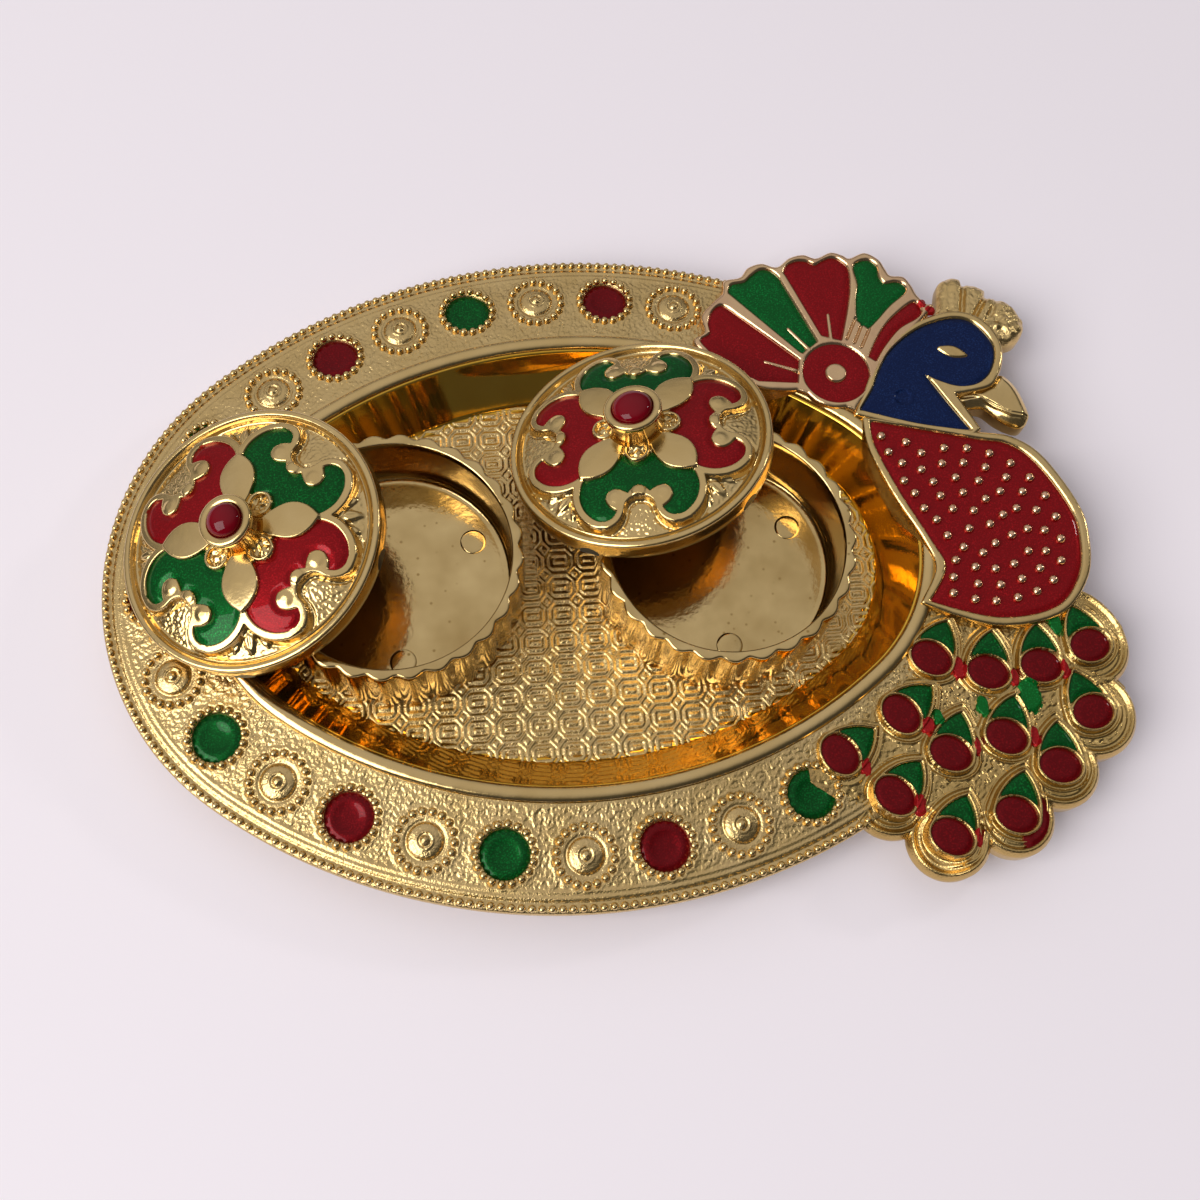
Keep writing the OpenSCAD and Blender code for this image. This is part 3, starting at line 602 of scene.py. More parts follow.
fan_gold = gold("fan_gold", 0.22, 1.6, 0.05, (0.78, 0.57, 0.29), (0.68, 0.4, 0.24))
fan_reach = np.maximum(reach_to(hub_at, fan_loop, 600), hub_r + hub_wall)
piece("peacock_fan", [relief(hub_at, fan_reach, fan_height, plaque_low, 92)], fan_gold, "tray", crease=75)
for colour, loops, material in (("red", red_loops, red_enamel), ("green", green_loops, green_enamel)):
    piece(f"fan_{colour}_petals", [poured(loop, enamel_low, enamel_z) for loop in loops], material,
          f"fan_{colour}_enamel", crease=60)
hub_section = [(hub_r + 0.25, enamel_low), (hub_r + 0.25, enamel_z - 0.15), (hub_r - 0.1, enamel_z - 0.08),
               (hub_r - 0.5, enamel_z), (hub_dot_r + 0.5, enamel_z), (hub_dot_r + 0.1, enamel_z - 0.08),
               (hub_dot_r - 0.25, enamel_z - 0.15), (hub_dot_r - 0.25, enamel_low)]
hub_ring = loft(turned(hub_section, 72, hub_at).swapaxes(0, 1), closed=True)
piece("hub_red_ring", [hub_ring], red_enamel, "hub_red_enamel", crease=60)

# The peacock's head and neck: one hooked cell of blue enamel inside a rounded gold border.
# A gold almond for the eye stands up through the enamel, and gold fills the wedge under the chin.
head_outline = [
    [45.4, 20, 0], [47.8, 24.6], [49.6, 28.2], [52, 31.6], [55.8, 34.8], [59.8, 36.8], [64.6, 37.8],
    [68.7, 36.3], [71.1, 32.6], [71.2, 28.8], [69.6, 25.2], [67.6, 23.4], [62.4, 22.6, 0], [65.2, 16.2, 0],
    [63, 14.4, 0], [55, 16.6]]
eye_outline = [
    [60.6, 30.9, 0], [61.2, 31.5], [63.6, 31.3], [65.4, 29.7], [65.1, 29.1], [63.2, 29.1], [61.9, 29.7]]
head_at, dimple_at = np.array([57.5, 25.0]), (53.7, 22.6)
border_edge_r, dimple_d, dimple_edge, dimple_lip = 0.6, 0.16, (1.0, 1.35), (0.1, 1.55, 0.3)
blue_enamel = enamel("blue_enamel", (0.0025, 0.0106, 0.056), (0.02, 0.06, 0.22))
head_loop, eye_loop = smooth_loop(head_outline), smooth_loop(eye_outline)


def head_height(x, y):
    """Wall tops that dip into the neck's cell and rise again for the eye, with a rounded edge."""
    z = wall_tops(np.minimum(in_cells(x, y), -depth(x, y, eye_loop)))
    return edged(z, x, y, depth(x, y, head_loop), border_edge_r)


piece("peacock_head", [relief(head_at, reach_to(head_at, head_loop, 440), head_height, plaque_low, 72)],
      bright_gold, "tray", crease=75)
points, faces = poured(neck_loop, enamel_low, enamel_z)
off = np.hypot(points[:, 0] - dimple_at[0], points[:, 1] - dimple_at[1])
dimple = dimple_d * (1 - ease(off, *dimple_edge)) - ridges(off, [dimple_lip])
points[:, 2] -= (points[:, 2] > enamel_low) * dimple
piece("neck_blue_field", [(points, faces)], blue_enamel, "neck_blue_enamel", crease=60)

# The crest: a plump tuft of plated plastic behind the head, moulded in one with the peacock.
# Four grooves part it into fingers, and its last lump is wrinkled.
crest_outline = [
    [61.6, 36.6, 0], [62.6, 39.6], [63.1, 42.2], [63.9, 44.3], [65.6, 45.2], [67.2, 45.0], [68.3, 43.9],
    [69.9, 43.4], [71.3, 42.5], [71.9, 41.1], [73.2, 40.7], [74.8, 40.1], [75.7, 38.5], [76.6, 36.5],
    [76.3, 34.3], [74.9, 32.5], [73.1, 31.8], [70.2, 31.6, 0]]
crest_grooves = [
    [67.9, 44.0, 66.3, 37.5], [71.6, 41.6, 68.0, 36.6], [73.0, 40.4, 69.6, 35.2], [65.3, 44.6, 64.4, 38.5]]
crest_cuts = [0.75, 0.75, 0.4, 0.22]
crest_at = np.array([68.6, 36.6])
crest_low, crest_rise, crest_round, groove_half, crest_sink = 8.0, 2.1, 2.2, 0.75, 0.4
lump_y, lump_lean, lump_edge = 38, 0.5, (70, 73.5)
crest_wave, lump_wave, wave_mm, crest_grain = 0.06, 0.26, 1.0, [(0.08, 0.45)]
crest_loop = smooth_loop(crest_outline, 12)


def crest_height(x, y):
    """Swelling from the edge inward, parted into fingers by grooves, with wrinkles on its last lump."""
    inside = np.clip(crest_round - depth(x, y, crest_loop), 0, crest_round)
    z = crest_low + crest_rise * dome(inside, crest_round) - crest_sink
    for groove, cut in zip(crest_grooves, crest_cuts):
        z -= cut * hump(segment(x, y, *groove)[0], 0, groove_half)
    rough = ease(x + lump_lean * (lump_y - y), *lump_edge)
    return z + (crest_wave + lump_wave * rough) * grain(x, y, wave_mm) + grains(x, y, crest_grain)


piece("peacock_crest", [relief(crest_at, reach_to(crest_at, crest_loop, 320), crest_height, plaque_low, 46)],
      grained_gold, "tray", crease=80)

# The beak: a plump upper half over a lower one, parted by a crease that runs back to the head.
# It is bright plated plastic, moulded in one with the peacock.
beak_outline = [
    [68.4, 24.4, 0], [69.7, 25.8], [70.7, 26], [71.8, 25], [72.7, 23.4], [73.3, 21.3], [73.7, 18.7],
    [73.1, 17.2], [72.1, 16.7], [70.6, 17.2], [68.8, 18.4], [66.9, 20.3], [64.9, 20.7], [63.6, 20.9],
    [62, 22.4, 0], [66, 23.4, 0]]
mouth = [[61.6, 23.1], [64.0, 22.9], [65.4, 22.8], [66.6, 21.9], [68.5, 20.3], [70.7, 18.9], [73.4, 18.2]]
beak_at = np.array([69.4, 21.8])
beak_z, beak_swell, beak_round, beak_edge_r = 10.3, 0.9, (-0.3, 1.5), 0.4
chin_steps, mouth_groove = [(0.45, 0.05, 0.5), (0.4, 0.5, 2.0)], (0.2, 0, 0.3)
beak_loop = smooth_loop(beak_outline, 12)


def beak_height(x, y):
    """Swelling from the edge inward, lower below the mouth's line, with a groove along the line."""
    inside = depth(x, y, beak_loop)
    crease = np.min([segment(x, y, *a, *b)[0] for a, b in zip(mouth, mouth[1:])], 0)
    under = y < np.interp(x, *np.array(mouth).T)
    z = beak_z - beak_swell * (1 - ease(inside, *beak_round))
    for drop, near, far in chin_steps:
        z -= under * drop * ease(crease, near, far)
    return z - ridges(crease, [mouth_groove]) - rounded_edge(inside, beak_edge_r)


piece("peacock_beak", [relief(beak_at, reach_to(beak_at, beak_loop, 300), beak_height, plaque_low, 46)],
      bright_gold, "tray", crease=80)

# The breast: the plate's largest field of red enamel in a gold border, sprinkled with small gold beads
# that stand on the cell's floor and show their tops.
breast_outline = [
    [46.6, 19.6, 0], [46.6, 14.2], [49.2, 6], [52.6, -1.8], [53.6, -6.6], [50.4, -11.8, 0], [61, -16.2],
    [71.2, -15.2], [76.8, -9.6], [78.5, -2.6], [77.8, 3], [74, 11], [69.6, 14.7], [63.6, 16]]
breast_at = np.array([62.0, 1.0])
breast_bead_r, breast_bead_z = 0.8, enamel_z + 0.05
# The beads' pink tone is partly a thin film of red lacquer over their gold and partly a painted reflection of
# the red enamel round them.
pink_film_and_reflection_gold = gold("pink_film_and_reflection_gold", 0.16, 1.6, 0.05, (0.84, 0.55, 0.36), (0.74, 0.42, 0.24))
breast_spots = np.array([
    [49.0, 15.9], [52.7, 14.6], [58.5, 13.2], [62.1, 12.9], [65.5, 11.8], [68.5, 9.9], [49.7, 13.1],
    [54.8, 12.6], [51.5, 11.1], [57.7, 10.6], [61.1, 10.5], [64.4, 9.5], [67.3, 7.6], [71.0, 7.3],
    [54.3, 9.8], [59.4, 8.1], [62.9, 7.3], [51.3, 8.1], [55.8, 7.6], [65.9, 5.3], [69.4, 5.0], [72.8, 4.1],
    [52.6, 5.9], [56.5, 5.2], [60.1, 5.5], [63.4, 4.2], [67.9, 2.3], [70.9, 1.8], [73.7, 0.5], [53.6, 3.3],
    [58.0, 2.9], [61.2, 2.4], [65.6, 1.4], [55.2, 1.3], [63.3, 0.0], [59.9, -0.5], [68.9, -1.2],
    [71.5, -1.6], [56.4, -1.4], [66.3, -2.0], [73.7, -3.2], [58.5, -3.5], [63.5, -3.2], [61.3, -4.6],
    [68.3, -4.8], [71.0, -5.0], [73.0, -6.7], [56.9, -5.5], [65.7, -6.7], [59.7, -6.8], [62.7, -7.3],
    [69.5, -7.7], [56.1, -8.2], [66.4, -9.2], [71.2, -9.7], [59.6, -9.5], [63.0, -9.9], [68.3, -11.3],
    [55.6, -10.7], [58.7, -11.9], [61.8, -12.4], [65.2, -12.1]])
breast_loop = smooth_loop(breast_outline)


def breast_height(x, y):
    """Wall tops that dip into the cell, with a rounded edge."""
    return edged(wall_tops(in_cells(x, y)), x, y, depth(x, y, breast_loop), border_edge_r)


breast_reach = reach_to(breast_at, breast_loop, 500)
piece("peacock_breast", [relief(breast_at, breast_reach, breast_height, plaque_low, 60)], bright_gold, "tray",
      crease=75)
piece("breast_red_field", [poured(breast_cell_loop, enamel_low, enamel_z)], red_enamel, "breast_red_enamel",
      crease=60)
breast_beads = np.insert(breast_spots, 2, breast_bead_z, axis=1)
piece("breast_beads", [balls(breast_beads, breast_bead_r)], pink_film_and_reflection_gold, "tray")

# The tail: a grained ground with a scalloped, double-lipped edge, set with thirteen feather eyes.
# Each eye has an oval red cell and a pointed green one behind a thin gold wall.
# It is moulded in one with the tray, and its ground runs into the flange.
feathers = np.array([
    [50.8, -20.2, 58], [58.9, -23, 75], [67, -22.6, 85], [75, -20, 103], [73.2, -30.1, 104],
    [44.9, -28.3, 36], [51.1, -34.6, 66], [59.7, -32.8, 68], [66.7, -37.6, 83], [35.1, -33.5, 31],
    [42, -40, 45], [49.1, -46.4, 60], [58.9, -44.1, 69]])
lobed = {3: 6.4, 4: 6.9, 8: 6.1, 10: 5.9, 11: 5.9, 12: 5.9}
eye_long, eye_wide, eye_divide, tip_arc_r, tip_arc_off = 2.5, 3.05, 0.4, 8.25, 5.2
tail_z, eye_z, eye_enamel_z = 8.9, 9.95, 9.65
eye_low = eye_enamel_z - 0.75
tail_free, tail_under, tail_over = (0, 5), 0.08, 0.06
tail_lips, lip_edge_r = [(0.5, 0.8, 0.75), (0.14, 1.9, 0.3)], 0.8
ground_start, ground_stop, tail_grain = (2.0, 2.3), (-1.8, -1.5), [(0.12, 0.38), (0.07, 0.8)]
eye_lip, eye_wall, eye_edge, eye_drop = (0.25, -1.3, 0.28), (-0.7, -0.38), (-0.2, 0.4), 0.95
tail_at, tail_spokes = np.array([58.0, -31.0]), 760
right_edge = [
    [75.6, -10.6], [77.4, -11.7], [78.8, -13.1], [80.1, -14.9], [81.1, -17.1], [81.4, -19.5], [75, -20]]
lobe_middles = feathers[[4, 8, 12, 11, 10], :2]
flange_edge = [
    [36.5, -41.5], [30.5, -37], [30.3, -31.5], [35.6, -28.2], [40.5, -25], [44.7, -21.8], [48.2, -18.3]]
tail_outline = [[52, -10], *right_edge, [79.6, -26.6], *lobe_middles, *flange_edge]
lip_inner = np.array([[20, -46], [20, -20], [52, 5], [78, 0], *right_edge, *lobe_middles, [36, -46.5]])
flange_side = np.array([lobe_middles[-1], *flange_edge, [52, -10], [110, 0], [120, -60], [60, -80]])


def ray_exit(start, spokes, middle, radius):
    """Way along each spoke to where it leaves a circle, or minus infinity where it misses it."""
    to_x, to_y = middle[0] - start[0], middle[1] - start[1]
    along = to_x * np.cos(spokes) + to_y * np.sin(spokes)
    gap = radius**2 - (to_x**2 + to_y**2 - along**2)
    return np.where(gap > 0, along + np.sqrt(np.maximum(gap, 0)), -np.inf)


def feather_axes(x, y, feather):
    """Ways along and across a feather, from the middle of its eye."""
    at_x, at_y, turn = feather
    c, s = np.cos(np.radians(turn)), np.sin(np.radians(turn))
    return (x - at_x) * c + (y - at_y) * s, (y - at_y) * c - (x - at_x) * s


def eye_inside(u, v):
    """Distance inside a feather's oval red cell, from its own middle along and across the feather."""
    return 0.5 * (eye_long + eye_wide) * (1 - np.hypot(u / eye_long, v / eye_wide))


def tip_inside(u, v):
    """Distance inside a feather's pointed tip: between two arcs that meet at its point."""
    return np.where(u > 0, tip_arc_r - np.hypot(u, np.abs(v) + tip_arc_off), -9)


def green_inside(u, v):
    """Distance inside a feather's green cell: the tip less the red cell and the wall that parts them."""
    return np.minimum(tip_inside(u, v), -eye_inside(u, v) - eye_divide)


def tail_height(x, y):
    """Ground that leaves the flange's slope, lips by the way to the lobes' edge, and the eyes' walls."""
    inset = oval_inset(x, y)
    free = ease(depth(x, y, flange_side), *tail_free)
    slope = flange_height(np.clip(inset, 0, flange_w))
    z = (1 - free) * (slope - tail_under) + free * np.maximum(tail_z, slope + tail_over)
    edge = depth(x, y, lip_inner)
    for i, lobe_r in lobed.items():
        edge = np.maximum(edge, lobe_r - np.hypot(x - feathers[i, 0], y - feathers[i, 1]))
    rough = ease(edge, *ground_start)
    z += ridges(edge, tail_lips) - rounded_edge(edge, lip_edge_r)
    rim, cell = np.full(np.shape(x), -np.inf), np.full(np.shape(x), -np.inf)
    for feather in feathers:
        u, v = feather_axes(x, y, feather)
        rim = np.maximum(rim, np.maximum(eye_inside(u, v), tip_inside(u, v)))
        cell = np.maximum(cell, np.maximum(eye_inside(u, v), green_inside(u, v)))
    rough *= 1 - ease(rim, *ground_stop)
    z += rough * grains(x, y, tail_grain)
    z = np.maximum(z, z + ridges(rim, [eye_lip]) * free)
    z += (eye_z - z) * ease(rim, *eye_wall)
    return z - eye_drop * ease(cell, *eye_edge)


tail_reach = reach_to(tail_at, smooth_loop([[*p, 0] for p in tail_outline], 40), tail_spokes)
for i, lobe_r in lobed.items():
    tail_reach = np.maximum(tail_reach, ray_exit(tail_at, circle(tail_spokes), feathers[i], lobe_r))
# Painted shade: the tail's gold is a darker copy of the plate's gold. It stands in for the shade on the tail,
# which lies lower than the plaques.
shaded_tail_gold = gold("shaded_tail_gold", 0.2, 0.26, 0.06, (0.68, 0.48, 0.19), (0.46, 0.29, 0.09))
tail_body = relief(tail_at, tail_reach, tail_height, plaque_low, 120)
piece("peacock_tail", [tail_body], shaded_tail_gold, "tray", crease=80)


def spun(points, turn):
    """Points turned about the upright axis."""
    c, s = np.cos(turn), np.sin(turn)
    return points @ np.array([[c, s, 0], [-s, c, 0], [0, 0, 1]])


def on_feathers(points, faces):
    """Copies of one feather's enamel, drawn from its own middle and direction, in every feather's place."""
    return [(spun(points, np.radians(turn)) + np.array([x, y, 0]), faces) for x, y, turn in feathers]


eye_fill = filled((-3.2, -3.6), (3.2, 3.6), eye_inside, eye_low, eye_enamel_z)
tip_fill = filled((0.2, -3.6), (7.2, 3.6), green_inside, eye_low, eye_enamel_z)
piece("tail_red_eyes", on_feathers(*eye_fill), deep_red, "tail_red_enamel", crease=60)
piece("tail_green_tips", on_feathers(*tip_fill), deep_green, "tail_green_enamel", crease=60)

# Overflow: enamel that ran over the walls while it was wet, red beside most eyes and by the head,
# and green behind some tips. It lies as a thin skin over the gold and shows brighter than a filled cell.
# The red also filled the moat beside the last feather's eye.
red_runs = [
    [54.8, -22.1, 1.0, 1.7], [62.7, -24.0, 0.7, 1.5], [70.5, -23.2, 0.7, 1.5], [48.6, -30.2, 1.2, 1.2],
    [55.2, -33.8, 0.6, 1.3], [63.9, -33.0, 0.8, 1.5], [38.6, -35.5, 0.8, 1.3], [45.3, -41.4, 0.9, 1.5],
    [52.9, -46.8, 0.6, 1.5]]
green_runs = [
    [64.6, -26.6, 1.6, 2.6], [57.2, -27.9, 0.9, 1.5], [50.4, -29.3, 0.7, 1.4], [70.6, -16.2, 0.9, 2.0]]
fan_runs = [[59.7, 39.4, 0.7, 0.9], [60.8, 38.2, 1.0, 0.6]]
skin_t, skin_sink, skin_edge, tail_level, moat_level = 0.1, 0.5, (0.7, 1), tail_z + 0.3, tail_z + 0.5
run_spread, run_wave, run_wave_r, run_wave_mm = 1.15, 0.2, 1.5, 0.8
moat_lip, moat_wall, moat_way, moat_half, moat_taper = 1.1, 0.45, -20, 60, 0.07
thin_red = enamel("thin_red_enamel", (0.34, 0.008, 0.01), (0.75, 0.05, 0.04))
thin_green = enamel("thin_green_enamel", (0.003, 0.12, 0.015), (0.01, 0.4, 0.08))


def run(place, height, low, level):
    """Wavy oval skin: level where it filled a hollow, a thin coat over the walls, sunk at its edge."""
    at_x, at_y, half_x, half_y = place
    spokes = circle(64)
    reach = half_x * half_y / np.hypot(half_y * np.cos(spokes), half_x * np.sin(spokes))
    wave = grain(*polar(run_wave_r, spokes, (at_x, at_y)), run_wave_mm)
    reach = reach * (run_spread + run_wave * wave)

    def skin(x, y):
        """Height of the skin, by the share of the way to its edge."""
        share = np.hypot(x - at_x, y - at_y) / reach
        return np.maximum(height(x, y), level) + skin_t - skin_sink * ease(share, *skin_edge)

    return relief((at_x, at_y), reach, skin, low, 16)


def moat(x, y):
    """Distance inside the last feather's filled moat: between its wall and the lobe's lip, on the right."""
    at_x, at_y, _ = feathers[12]
    r, way = np.hypot(x - at_x, y - at_y), np.degrees(np.arctan2(y - at_y, x - at_x))
    eye = eye_inside(*feather_axes(x, y, feathers[12]))
    across = np.minimum(lobed[12] - moat_lip - r, -eye - moat_wall)
    return np.minimum(across, moat_taper * (moat_half - np.abs(way - moat_way)))


red_skins = [run(p, tail_height, eye_low, tail_level) for p in red_runs]
green_skins = [run(p, tail_height, eye_low, tail_level) for p in green_runs]
fan_skins = [run(p, fan_height, enamel_low, enamel_z) for p in fan_runs]
moat_fill = filled((56, -51), (66, -40), moat, eye_low, moat_level)
piece("tail_red_runs", red_skins, thin_red, "tail_red_enamel", crease=60)
piece("tail_red_moat", [moat_fill], deep_red, "tail_red_enamel", crease=60)
piece("tail_green_runs", green_skins, thin_green, "tail_green_enamel", crease=60)
piece("fan_red_runs", fan_skins, thin_red, "fan_red_enamel", crease=60)

# The lids: two loose lids of plated plastic, each with a domed face inside a double ring, four walled scroll
# fields, four smooth petals, sprigs of leaves between the scrolls and a round knob.
# A lip under each is made to drop into a cup's bore. They lie half off their cups.
lid_r, lid_edge_h, lip_r, lip_h, lid_wall, lid_skin = 19.8, 2.6, 17.2, 1.0, 1.2, 0.9
ground_edge, ground_mid, field_top, petal_top, knob_h = -0.4, 0.6, 1.0, 1.4, 7.4
field_low, field_enamel_z, lid_spokes = 0.1, 0.82, 640
under_z, lip_low, lip_inner_r = ground_edge - lid_skin, -lid_edge_h - lip_h, lip_r - lid_wall
field_half = [
    [6.6, 0], [5.2, 1.8], [5.6, 4.4], [7.8, 7.2, 0], [9.2, 8.2], [11.2, 8.6], [13.4, 8], [15, 6.6],
    [15.5, 5.2], [15.2, 4.1], [14.3, 3.4, 0], [13.5, 4.4], [12.4, 4.95], [11.3, 4.6], [10.75, 3.6],
    [11, 2.6], [11.6, 1.6, 0], [10.9, 0.95], [10.6, 0]]
field_wall_half = [
    [3.2, 0], [4.6, 4.2], [5.8, 7.8, 0], [8.8, 9.4], [11.4, 9.8], [14, 9.1], [16, 7.3], [16.7, 5.2],
    [16.5, 4], [15.8, 3], [14.6, 2.3], [13.4, 2], [12.7, 1.4], [12.4, 0.7], [12.3, 0]]
knob_sizes, ruby_rise, lid_rise, dome_r = {"left": (3.6, 2.5), "right": (4.0, 2.95)}, 1.5, 2.1, 17.6
volute_at, volute_r, volute_h, volute_round = (12.2, 3.5), 1.3, 0.16, 0.9
axis_bead_at, axis_bead_r, axis_bead_h = 11.6, 1.05, 0.3
curl_at, curl_r, curl_z, curl_grain = 4.75, 1.6, 0.75, [(0.25, 0.5)]
curl_top, curl_d, curl_side = 1.4, 3, (0.15, 0.75)
ground_from, ground_run, ground_end, lid_grain = 4, 14, (17.4, 17.7), [(0.1, 0.24), (0.02, 0.7)]
field_moat, field_side, field_d, field_edge = (0.2, -0.35, 0.4), (-0.15, 0.15), 1.3, (-0.18, 0.3)
leaf_at, leaf_size, side_leaf_at, side_leaf_size = 14.6, (2.9, 0.95), (15.2, 1.7), (2.0, 0.62)
side_leaf_c, side_leaf_s, leaf_h, leaf_clear, leaf_edge = 0.85, 0.53, 0.5, (-0.15, 0), (-0.05, 0.3)
leaf_vein = 0.2, 0, 0.22
petal_from, petal_long, petal_half, petal_swell = 2.2, 9.8, 3.0, 0.12
petal_lean, petal_plump, petal_slant, petal_edge = 1.3, 0.65, 0.85, (-0.05, 0.35)
inner_ring, outer_ring, outer_ring_h, ring_groove = (0.6, 18.25, 0.4), (18.5, 18.9), 0.7, (0.06, 18.6, 0.2)
ring_from = 18.2
lid_places = {
    "left": ((-46.6, 2.6, 17.2), 16.0, 186.0, 46.0),
    "right": ((10.55, 15.0, 16.05), 18.3, 128.0, 86.0)}


def both_sides(half):
    """A half outline and its mirror image as one; its first and last points lie on the axis."""
    return half + [[p[0], -p[1], *p[2:]] for p in half[-2:0:-1]]


field_loop, field_wall_loop = smooth_loop(both_sides(field_half)), smooth_loop(both_sides(field_wall_half))


def lid_height(x, y):
    """One quarter of a lid round a field's axis: ground, sprigs, scroll wall, cell, curl, petals and ring."""
    r, turn = np.hypot(x, y), np.pi / 4 - np.abs(np.arctan2(y, x))
    u, v = polar(r, turn)
    z = ground_mid + (ground_edge - ground_mid) * (r - ground_from) / ground_run
    off_u, off_v = u - side_leaf_at[0], v - side_leaf_at[1]
    along, across = off_u * side_leaf_c + off_v * side_leaf_s, off_v * side_leaf_c - off_u * side_leaf_s
    leaf = np.maximum(1 - np.hypot((u - leaf_at) / leaf_size[0], v / leaf_size[1]),
                      1 - np.hypot(along / side_leaf_size[0], across / side_leaf_size[1]))
    rough = (1 - ease(r, *ground_end)) * (1 - ease(leaf, *leaf_clear))
    z += rough * grains(x, y, lid_grain)
    z += (leaf_h - ridges(v, [leaf_vein])) * ease(leaf, *leaf_edge)
    wall = depth(x, y, field_wall_loop)
    cell = depth(x, y, field_loop)
    z -= ridges(wall, [field_moat])
    z += (field_top - z) * ease(wall, *field_side)
    off = np.hypot(x - volute_at[0], np.abs(y) - volute_at[1])
    z += volute_h * ease(volute_r - off, 0, volute_round)
    z += axis_bead_h * dome(np.hypot(x - axis_bead_at, y), axis_bead_r)
    z -= field_d * ease(cell, *field_edge)
    curl = np.hypot(x - curl_at, y)
    z = np.where(curl < curl_r, curl_z + grains(x, y, curl_grain), z)
    z = np.maximum(z, curl_top - curl_d * ease(np.abs(curl - curl_r), *curl_side))
    share = np.clip((u - petal_from) / petal_long, 0, 1)
    half_width = petal_half * np.sin(np.pi * share**petal_lean) ** petal_plump
    petal = petal_slant * (half_width - v)
    swell = petal_swell * (1 - (v / np.maximum(half_width, 0.2)) ** 2)
    z += (petal_top + swell - z) * ease(petal, *petal_edge)
    ring = ground_edge + ridges(r, [inner_ring]) + outer_ring_h * ease(r, *outer_ring)
    ring -= ridges(r, [ring_groove])
    return np.where(r > ground_end[1], np.maximum(ring, np.where(r < ring_from, z, -1)), z)


def lid_swell(r):
    """Rise of a lid's domed face over its rim: most in the middle, falling with the cube of the radius."""
    return lid_rise * (1 - np.clip(r / dome_r, 0, 1) ** 3)


def lid_surface(knob_r, ruby_r):
    """Rings from the underside's middle over lip and skirt, across the relief and up the knob to its seat."""
    around = np.linspace(-np.pi / 4, 7 * np.pi / 4, lid_spokes, endpoint=False)
    below = [(0.3, under_z), (lip_inner_r, under_z), (lip_inner_r, lip_low + 0.1),
             (lip_inner_r + 0.15, lip_low), (lip_r - 0.15, lip_low), (lip_r, lip_low + 0.1), (lip_r, under_z),
             (lid_r - lid_wall, under_z), (lid_r - lid_wall, -lid_edge_h), (lid_r - 0.15, -lid_edge_h),
             (lid_r, -lid_edge_h + 0.15),
             (lid_r, -1.6), (lid_r, -0.8), (lid_r, -0.15), (lid_r - 0.08, 0.1), (lid_r - 0.3, 0.27)]
    knob = [(knob_r + 0.3, 0.75 + lid_rise), (knob_r, 3.2), (knob_r - 0.15, 3.9), (knob_r - 0.15, 5.0),
            (knob_r + 0.15, 6.1), (knob_r + 0.3, 6.6), (knob_r + 0.3, 7.0), (knob_r + 0.2, 7.25),
            (knob_r - 0.05, knob_h), (ruby_r + 0.25, knob_h - 0.02), (ruby_r + 0.05, 7.2), (ruby_r, 6.7),
            (0.2, 6.6)]
    radius = np.linspace(lid_r - 0.5, knob_r + 0.4, 98)[:, None]
    quarter = around[:lid_spokes // 4]
    height = lid_height(*polar(radius, quarter)) + lid_swell(radius)
    face = np.stack(np.broadcast_arrays(radius, np.tile(height, 4)), -1)
    foot, top = (np.broadcast_to(np.array(p, float)[:, None], (len(p), lid_spokes, 2)) for p in (below, knob))
    section = np.concatenate([foot, face, top])
    return xyz(*polar(section[..., 0], around), section[..., 1])


def laid(points, faces, side):
    """A part of a lid, drawn upright, turned, leaned over and moved to where that lid lies."""
    at, lean, toward, turn = lid_places[side]
    spin = Matrix.Rotation(np.radians(toward), 3, "Z") @ Matrix.Rotation(np.radians(lean), 3, "Y")
    spin = spin @ Matrix.Rotation(np.radians(turn - toward), 3, "Z")
    return points @ np.array(spin).T + np.array(at), faces


def field_enamel(quarter, side):
    """Enamel of one scroll field, turned to its quarter of the lid."""
    points, faces = poured(field_loop, field_low, field_enamel_z)
    points[:, 2] += lid_swell(np.hypot(points[:, 0], points[:, 1]))
    return laid(spun(points, np.pi / 2 * quarter), faces, side)


for side in lid_places:
    piece(f"lid_{side}_body", [laid(*loft(lid_surface(*knob_sizes[side])), side)], bright_gold, f"lid_{side}",
          body=f"{side}_lid", crease=75)
    for colour, material, quarters in (("red", red_enamel, (1, 3)), ("green", deep_green, (0, 2))):
        piece(f"lid_{side}_{colour}_scrolls", [field_enamel(q, side) for q in quarters], material,
              f"lid_{side}_{colour}_enamel", f"{side}_lid", crease=60)

# Inside of the lids: a dark disc on each lid's underside, out of sight.
# It is painted shade: where a lid overhangs its cup, the cup's floor mirrors the underside, and the disc
# makes that reflection dark. It lies against the lid's plastic, within the lip.
painted_shade_gold = gold("painted_shade_gold", 0.4, 0.5, 0.05, (0.2, 0.11, 0.035), (0.11, 0.055, 0.018))
lining_r, lining_half = lip_inner_r - 0.02, 0.05
lining = loft(turned([(0.3, under_z - lining_half), (lining_r, under_z - lining_half),
                      (lining_r, under_z + lining_half), (0.3, under_z + lining_half)], 96))
for side in lid_places:
    piece(f"lid_{side}_inside", [laid(*lining, side)], painted_shade_gold, f"lid_{side}", body=f"{side}_lid",
          crease=40)

# Gate scars: two on each lid's skirt, at its lower edge, where the lid was cut from its mould's runners.
# The plating is missing there and the dark plastic shows.
scar_angles = {"left": (218, 297), "right": (156, 232)}
scar_half, scar_h, scar_in, scar_out = np.radians(4.6), 1.3, lid_r - 0.3, lid_r + 0.03
dark_plastic = new_finish("dark_plastic", {"Base Color": (0.008, 0.009, 0.011, 1), "Roughness": 0.45})


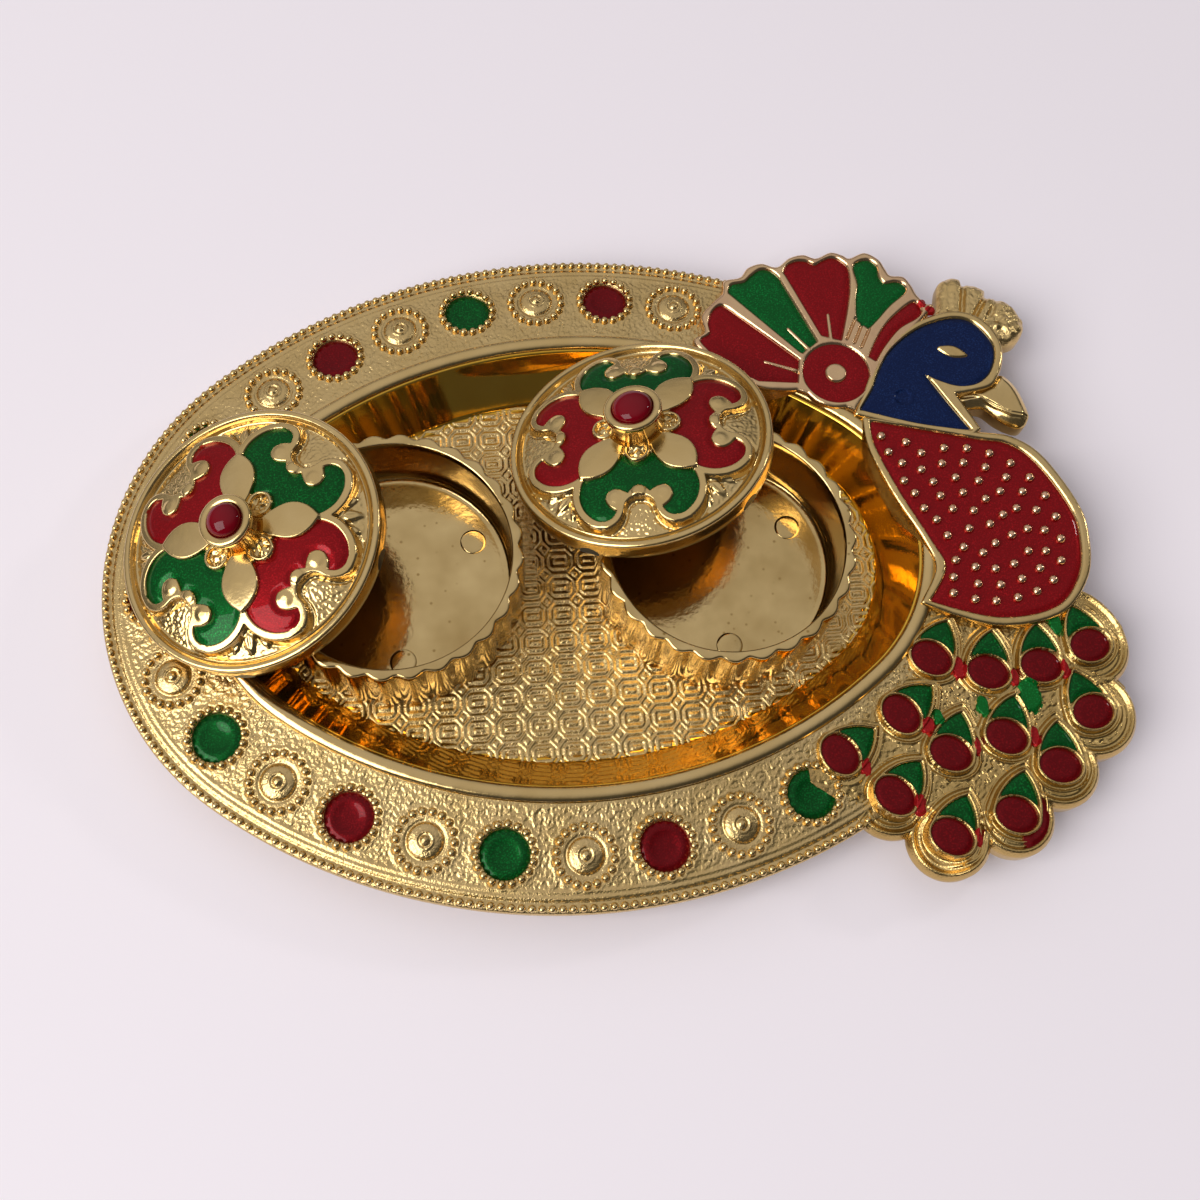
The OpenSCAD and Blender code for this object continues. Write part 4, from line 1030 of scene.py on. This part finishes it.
def scar(angle, side):
    """Thin patch on the skirt: columns as high as a half ellipse, with an inner and an outer face."""
    share = np.linspace(-0.97, 0.97, 15)[:, None]
    turn = np.radians(angle) + scar_half * share
    r = np.array([scar_in, scar_out, scar_out, scar_in])
    z = -lid_edge_h - 0.02 + scar_h * np.sqrt(1 - share**2) * np.array([0, 0, 1, 1])
    return laid(*loft(xyz(*polar(r, turn), z)), side)


for side in lid_places:
    scars = [scar(angle, side) for angle in scar_angles[side]]
    piece(f"lid_{side}_scars", scars, dark_plastic, f"lid_{side}", f"{side}_lid", crease=40)

# The stones: a round red cabochon of glass or acrylic for each knob.
# It is glued into the knob's seat and stands up as a low dome.
ruby = new_finish("ruby", {"Base Color": (0.16, 0.001, 0.006, 1), "Roughness": 0.05,
                           "Specular IOR Level": 0.1, "Coat Weight": 0.25, "Coat Roughness": 0.02})
ruby_foot, ruby_girdle = knob_h - 0.9, knob_h - 0.15
arch = np.radians(np.linspace(0, 88, 14))
for side, (_, ruby_r) in knob_sizes.items():
    section = [(ruby_r, ruby_foot), *zip(ruby_r * np.cos(arch), ruby_girdle + ruby_rise * np.sin(arch))]
    piece(f"ruby_{side}_stone", [laid(*loft(turned(section, 64)), side)], ruby, f"ruby_{side}",
          f"{side}_lid", crease=70)

# The stage: a pale floor, a camera over the plate's front edge, a broad lamp on the left and a small one
# on the right. The studio round it is bright overhead and dark near the floor.
floor_half = 3
floor_mesh = bpy.data.meshes.new("floor")
floor_corners = [(-floor_half, -floor_half, 0), (floor_half, -floor_half, 0),
                 (floor_half, floor_half, 0), (-floor_half, floor_half, 0)]
floor_mesh.from_pydata(floor_corners, [], [(0, 1, 2, 3)])
floor_object = bpy.data.objects.new("floor", floor_mesh)
bpy.context.scene.collection.objects.link(floor_object)
floor_paint = new_finish("floor_paint", {"Base Color": (0.96, 0.89, 0.93, 1), "Roughness": 0.7})
floor_mesh.materials.append(floor_paint)


def facing(place, aim, roll=0.0):
    """Frame at a place that looks at its aim, level along X and then rolled about its view. In metres."""
    ahead = (np.array(aim) - place) / np.linalg.norm(np.array(aim) - place)
    right = np.cross(ahead, (0, 1, 0))
    right /= np.linalg.norm(right)
    up = np.cross(right, ahead)
    right, up = np.cos(roll) * right + np.sin(roll) * up, np.cos(roll) * up - np.sin(roll) * right
    return Matrix([[right[i], up[i], -ahead[i], place[i]] for i in range(3)] + [[0, 0, 0, 1]])


camera_at, camera_aim = np.array([-11.3, -72.89, 189.5]) * mm, np.array([3.0, -7.27, 8.5]) * mm
camera_roll = -0.095
lens = bpy.data.cameras.new("camera")
lens.sensor_width = 36
lens.lens = 39
lens.clip_start = 0.01
camera = bpy.data.objects.new("camera", lens)
camera.matrix_world = facing(camera_at, camera_aim, camera_roll)
bpy.context.scene.collection.objects.link(camera)
bpy.context.scene.camera = camera
for name, place, size, power in (("key", (-1.1, -0.55, 1.1), 1.2, 23.5),
                                 ("window", (1.1, 0.45, 0.65), 0.12, 1.2)):
    light = bpy.data.lights.new(name, "AREA")
    light.size = size
    light.energy = power
    lamp = bpy.data.objects.new(name, light)
    lamp.matrix_world = facing(place, (0, 0, 0))
    bpy.context.scene.collection.objects.link(lamp)
studio = bpy.data.worlds.new("studio")
studio.use_nodes = True
tree = studio.node_tree
way = add_node(tree, "TexCoord", "Generated", {})
brightest = (-0.22, 0.43, 0.875)
overhead = add_node(tree, "VectorMath", "Value", {0: way, 1: brightest}, operation="DOT_PRODUCT")
levels = {"Value": overhead, "From Min": 0.3, "From Max": 1.0, "To Min": 0.07, "To Max": 0.62}
strength = add_node(tree, "MapRange", "Result", levels, interpolation_type="SMOOTHSTEP")
set_inputs(tree.nodes["Background"], {"Color": (0.98, 0.96, 1.0, 1), "Strength": strength})
bpy.context.scene.world = studio
